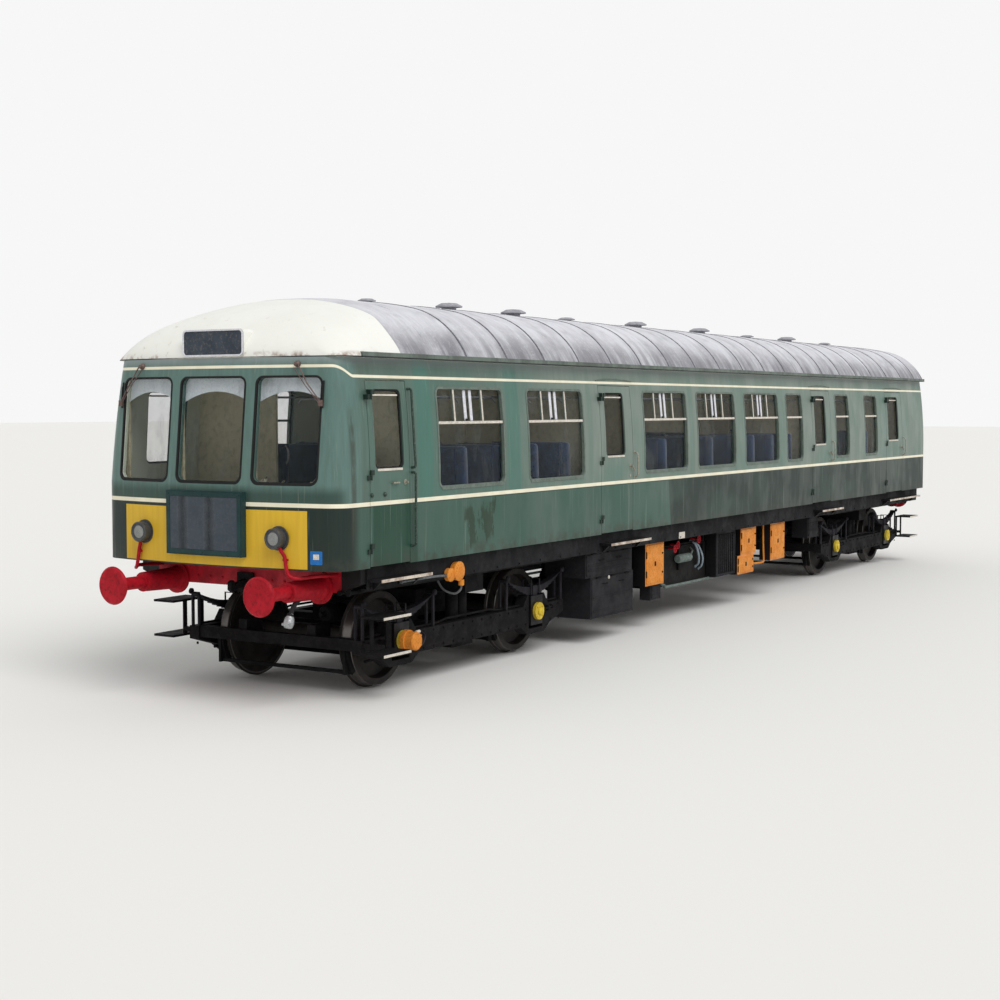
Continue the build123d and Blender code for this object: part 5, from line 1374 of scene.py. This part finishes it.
# Radiator slats with their frame, near and far
radiators = {"rows": [(-1, 8.79), (1, 8.7)], "length": 0.64, "face": 1.25, "low": 0.43, "high": 1.03,
             "slats": 9}
shape = bmesh.new()
for side, start in radiators["rows"]:
    x, z = (along(start), along(start + radiators["length"])), (up(radiators["low"]), up(radiators["high"]))
    place = onPlane(side, radiators["face"])
    addPanel(shape, place, rounded(grown(x, -0.005), grown(z, -0.005), 0.01, 2), -0.001, 0.014,
             rounded(grown(x, -0.035), grown(z, -0.035), 0.008, 2))
    for middle in spread(*grown(x, -0.06), radiators["slats"]):
        addPlate(shape, place, about(middle, 0.012), grown(z, -0.04), 0.006, -0.001, 0.011)
finishPiece(shape, "radiatorSlats", "batteryPaint", 0.002)

# Bolt rows on solebars and headstock, clear of the buffers and the hook
boltRows = {"solebarFirst": 0.9, "solebarPitch": 0.44, "solebarCount": 38, "headstockX": 0.55,
            "buffer": (0.8635, 0.21), "hook": 0.17}
shape = bmesh.new()
for side in (-1, 1):
    for number in range(boltRows["solebarCount"]):
        for height in (1.265, 1.06):
            place = boltRows["solebarFirst"] + number * boltRows["solebarPitch"]
            addBolt(shape, at(place, side * 1.335, height), (0, side, 0), 0.01, 0.009)
finishPiece(shape, "solebarBolts", "solebarBlackShaded")
shape = bmesh.new()
for number in range(15):
    for height in (1.265, 1.075):
        y = -1.05 + number * 0.15
        if abs(abs(y) - boltRows["buffer"][0]) > boltRows["buffer"][1] and abs(y) > boltRows["hook"]:
            addBolt(shape, (bowX + boltRows["headstockX"], y, up(height)), (-1, 0, 0), 0.011, 0.01)
finishPiece(shape, "headstockBolts", "redPaint")

# Bogies: worn edges of the treads, bolts, clips and links of the springs, covers, pipes and brake cylinders
bogies = {
    "pivots": {"front": 3.06, "rear": 15.25},
    "wheelbase": 2.59,
    "frameFace": 1.06,
    "frameBolts": (0.33, 0.49),
    "boltHalf": 1.8,
    "coverFace": 1.115,
    "axleZ": 0.457,
    "treads": (1.83, 0.22),      # middle from the pivot, half length
    "treadTops": (0.43, 0.775),
    "treadEdge": 1.4,
    "springSpan": 1.18,
    "springEye": 0.86,
    "pipe": [(-1.85, 0.535), (-0.6, 0.535), (-0.4, 0.56), (0.4, 0.56), (0.6, 0.535), (1.85, 0.535)],
    "glandY": -1.19,
}
axleZ = up(bogies["axleZ"])
for name, pivot in bogies["pivots"].items():
    body, pivotX = f"bogie_{name}", along(pivot)
    bolts, edges, links, caps, rods = [bmesh.new() for number in range(5)]
    axles = [pivotX + end * bogies["wheelbase"] / 2 for end in (-1, 1)]
    outerEnd = -1 if name == "front" else 1      # the ladders stand only here
    for side in (-1, 1):
        for x in spread(*about(pivotX, bogies["boltHalf"]), 21):
            for height in bogies["frameBolts"]:
                if min(abs(x - axleX) for axleX in axles) > 0.2:
                    addBolt(bolts, (x, side * bogies["frameFace"], up(height)), (0, side, 0), 0.01, 0.01)
        for height in bogies["treadTops"]:
            x = about(pivotX + outerEnd * bogies["treads"][0], bogies["treads"][1])
            addPlate(edges, onPlane(side, bogies["treadEdge"]), x, (up(height) - 0.026, up(height) - 0.001),
                     0.005, -0.001, 0.003, 3)
        for axleX in axles:
            if (name, side, axleX) != ("front", -1, axles[0]):      # the generator is there
                cover = Vector((axleX, side * bogies["coverFace"], axleZ))
                cap = [(0.04, -0.001), (0.04, 0.012), (0.03, 0.018), (0, 0.02)]
                addTurned(caps, cap, cover, (0, side, 0), 20)
                addBoltRing(caps, cover, (0, side, 0), 0.07, 4, 45, 0.009, 0.009)
                end = Vector((axleX + 0.28, side * 1.1, axleZ + 0.02))
                addTube(rods, [end - Vector((0.15, 0, 0.01)), end], 0.011, 8)
                addBolt(rods, end, (1, 0, 0), 0.016, 0.02)
                addBox(rods, (axleX + 0.2, axleX + 0.23), (side * 1.05, side * 1.11),
                       (axleZ - 0.02, axleZ + 0.04))
            for x in about(axleX, bogies["springSpan"] / 2):
                eye = (x, side * 1.05, up(bogies["springEye"]))
                addTurned(links, [(0.03, 0), (0.03, 0.02), (0.016, 0.03)], eye, (0, side, 0), 14)
            for x in about(axleX, 0.09):
                addTube(links, [(x, side * y, up(height)) for y, height in
                                ((0.95, 0.64), (0.95, 0.8), (1.055, 0.8), (1.055, 0.64))], 0.009, 6)
        addTube(rods, [(pivotX + x, side, up(height)) for x, height in bogies["pipe"]], 0.013, 8)
        addTube(rods, [(x, side * 0.93, up(0.29)) for x in about(pivotX, 1.7)], 0.015, 8)
        for end in (-1, 1):      # brake cylinders
            addTurned(rods, [(0, 0), (0.085, 0.006), (0.09, 0.03), (0.09, 0.26), (0.07, 0.29), (0.03, 0.3),
                             (0.02, 0.36)], (pivotX + end * 1.36, side * 0.42, up(0.7)), (end, 0, 0), 20)
            addBox(rods, about(pivotX + end * 1.74, 0.12), about(side * 0.42, 0.05), (up(0.45), up(0.62)))
    if name == "front":      # the generator's glands and the stiff end of its cable
        for height, reach in ((0.53, 0.131), (0.4, 0.146)):
            addTube(edges, [(axles[0] + 0.07, bogies["glandY"], up(height)),
                            (axles[0] + reach, bogies["glandY"], up(height) + 0.004)], 0.016)
        line = [(0.14, -1.19, 0.4), (0.2, -1.18, 0.41), (0.3, -1.14, 0.46), (0.34, -1.07, 0.5)]
        addTube(links, curvy([(axles[0] + x, y, up(height)) for x, y, height in line], 5), 0.011, 8)
    finishPiece(bolts, f"frameBolts_{name}", "bogieBlackShaded", 0, body)
    finishPiece(edges, f"treadEdges_{name}", "edgeWhite", 0.001, body)
    finishPiece(links, f"springClips_{name}", "springSteelShaded", 0, body)
    finishPiece(caps, f"coverCaps_{name}", "yellowPaint", 0, body)
    finishPiece(rods, f"bogiePipes_{name}", "bogieBlackShaded", 0.002, body)
print("underfloor and bogies done")

# Rear end: hand rails, lamp brackets, jumper sockets and bolts beside the gangway
rear = {"railY": 0.66, "rail": (1.75, 2.75), "sockets": (1.5, 1.75), "socketY": 0.95, "brackets": (1.9, 2.4),
        "boltY": 0.52}
place = onEnd(rearX)
shape, sockets = bmesh.new(), bmesh.new()
low, high = [up(height) for height in rear["rail"]]
rail = [(low, 0), (low + 0.01, 0.04), (low + 0.06, 0.06), (high - 0.06, 0.06), (high - 0.01, 0.04), (high, 0)]
for side in (-1, 1):
    addTube(shape, curvy([place(side * rear["railY"], *spot) for spot in rail], 4), 0.013, 8)
    for height in rear["brackets"]:
        addBox(sockets, (rearX - 0.001, rearX + 0.03), about(side, 0.03), (up(height), up(height) + 0.05))
    for height in rear["sockets"]:
        y = side * rear["socketY"]
        addTurned(sockets, [(0.07, 0), (0.07, 0.05), (0.058, 0.055), (0.058, 0.11), (0.066, 0.112),
                            (0.066, 0.12), (0.02, 0.128)], place(y, up(height), 0), (1, 0, -0.4))
        addBox(sockets, (rearX - 0.001, rearX + 0.012), about(y, 0.09), about(up(height), 0.08))
    for number in range(9):
        addBolt(sockets, place(side * rear["boltY"], up(1.45 + number * 0.2), 0), (1, 0, 0), 0.01, 0.01)
finishPiece(shape, "rearHandRails", "darkRail")
finishPiece(sockets, "rearSockets", "underframeBlackShaded", 0.002)
print("rear end done")
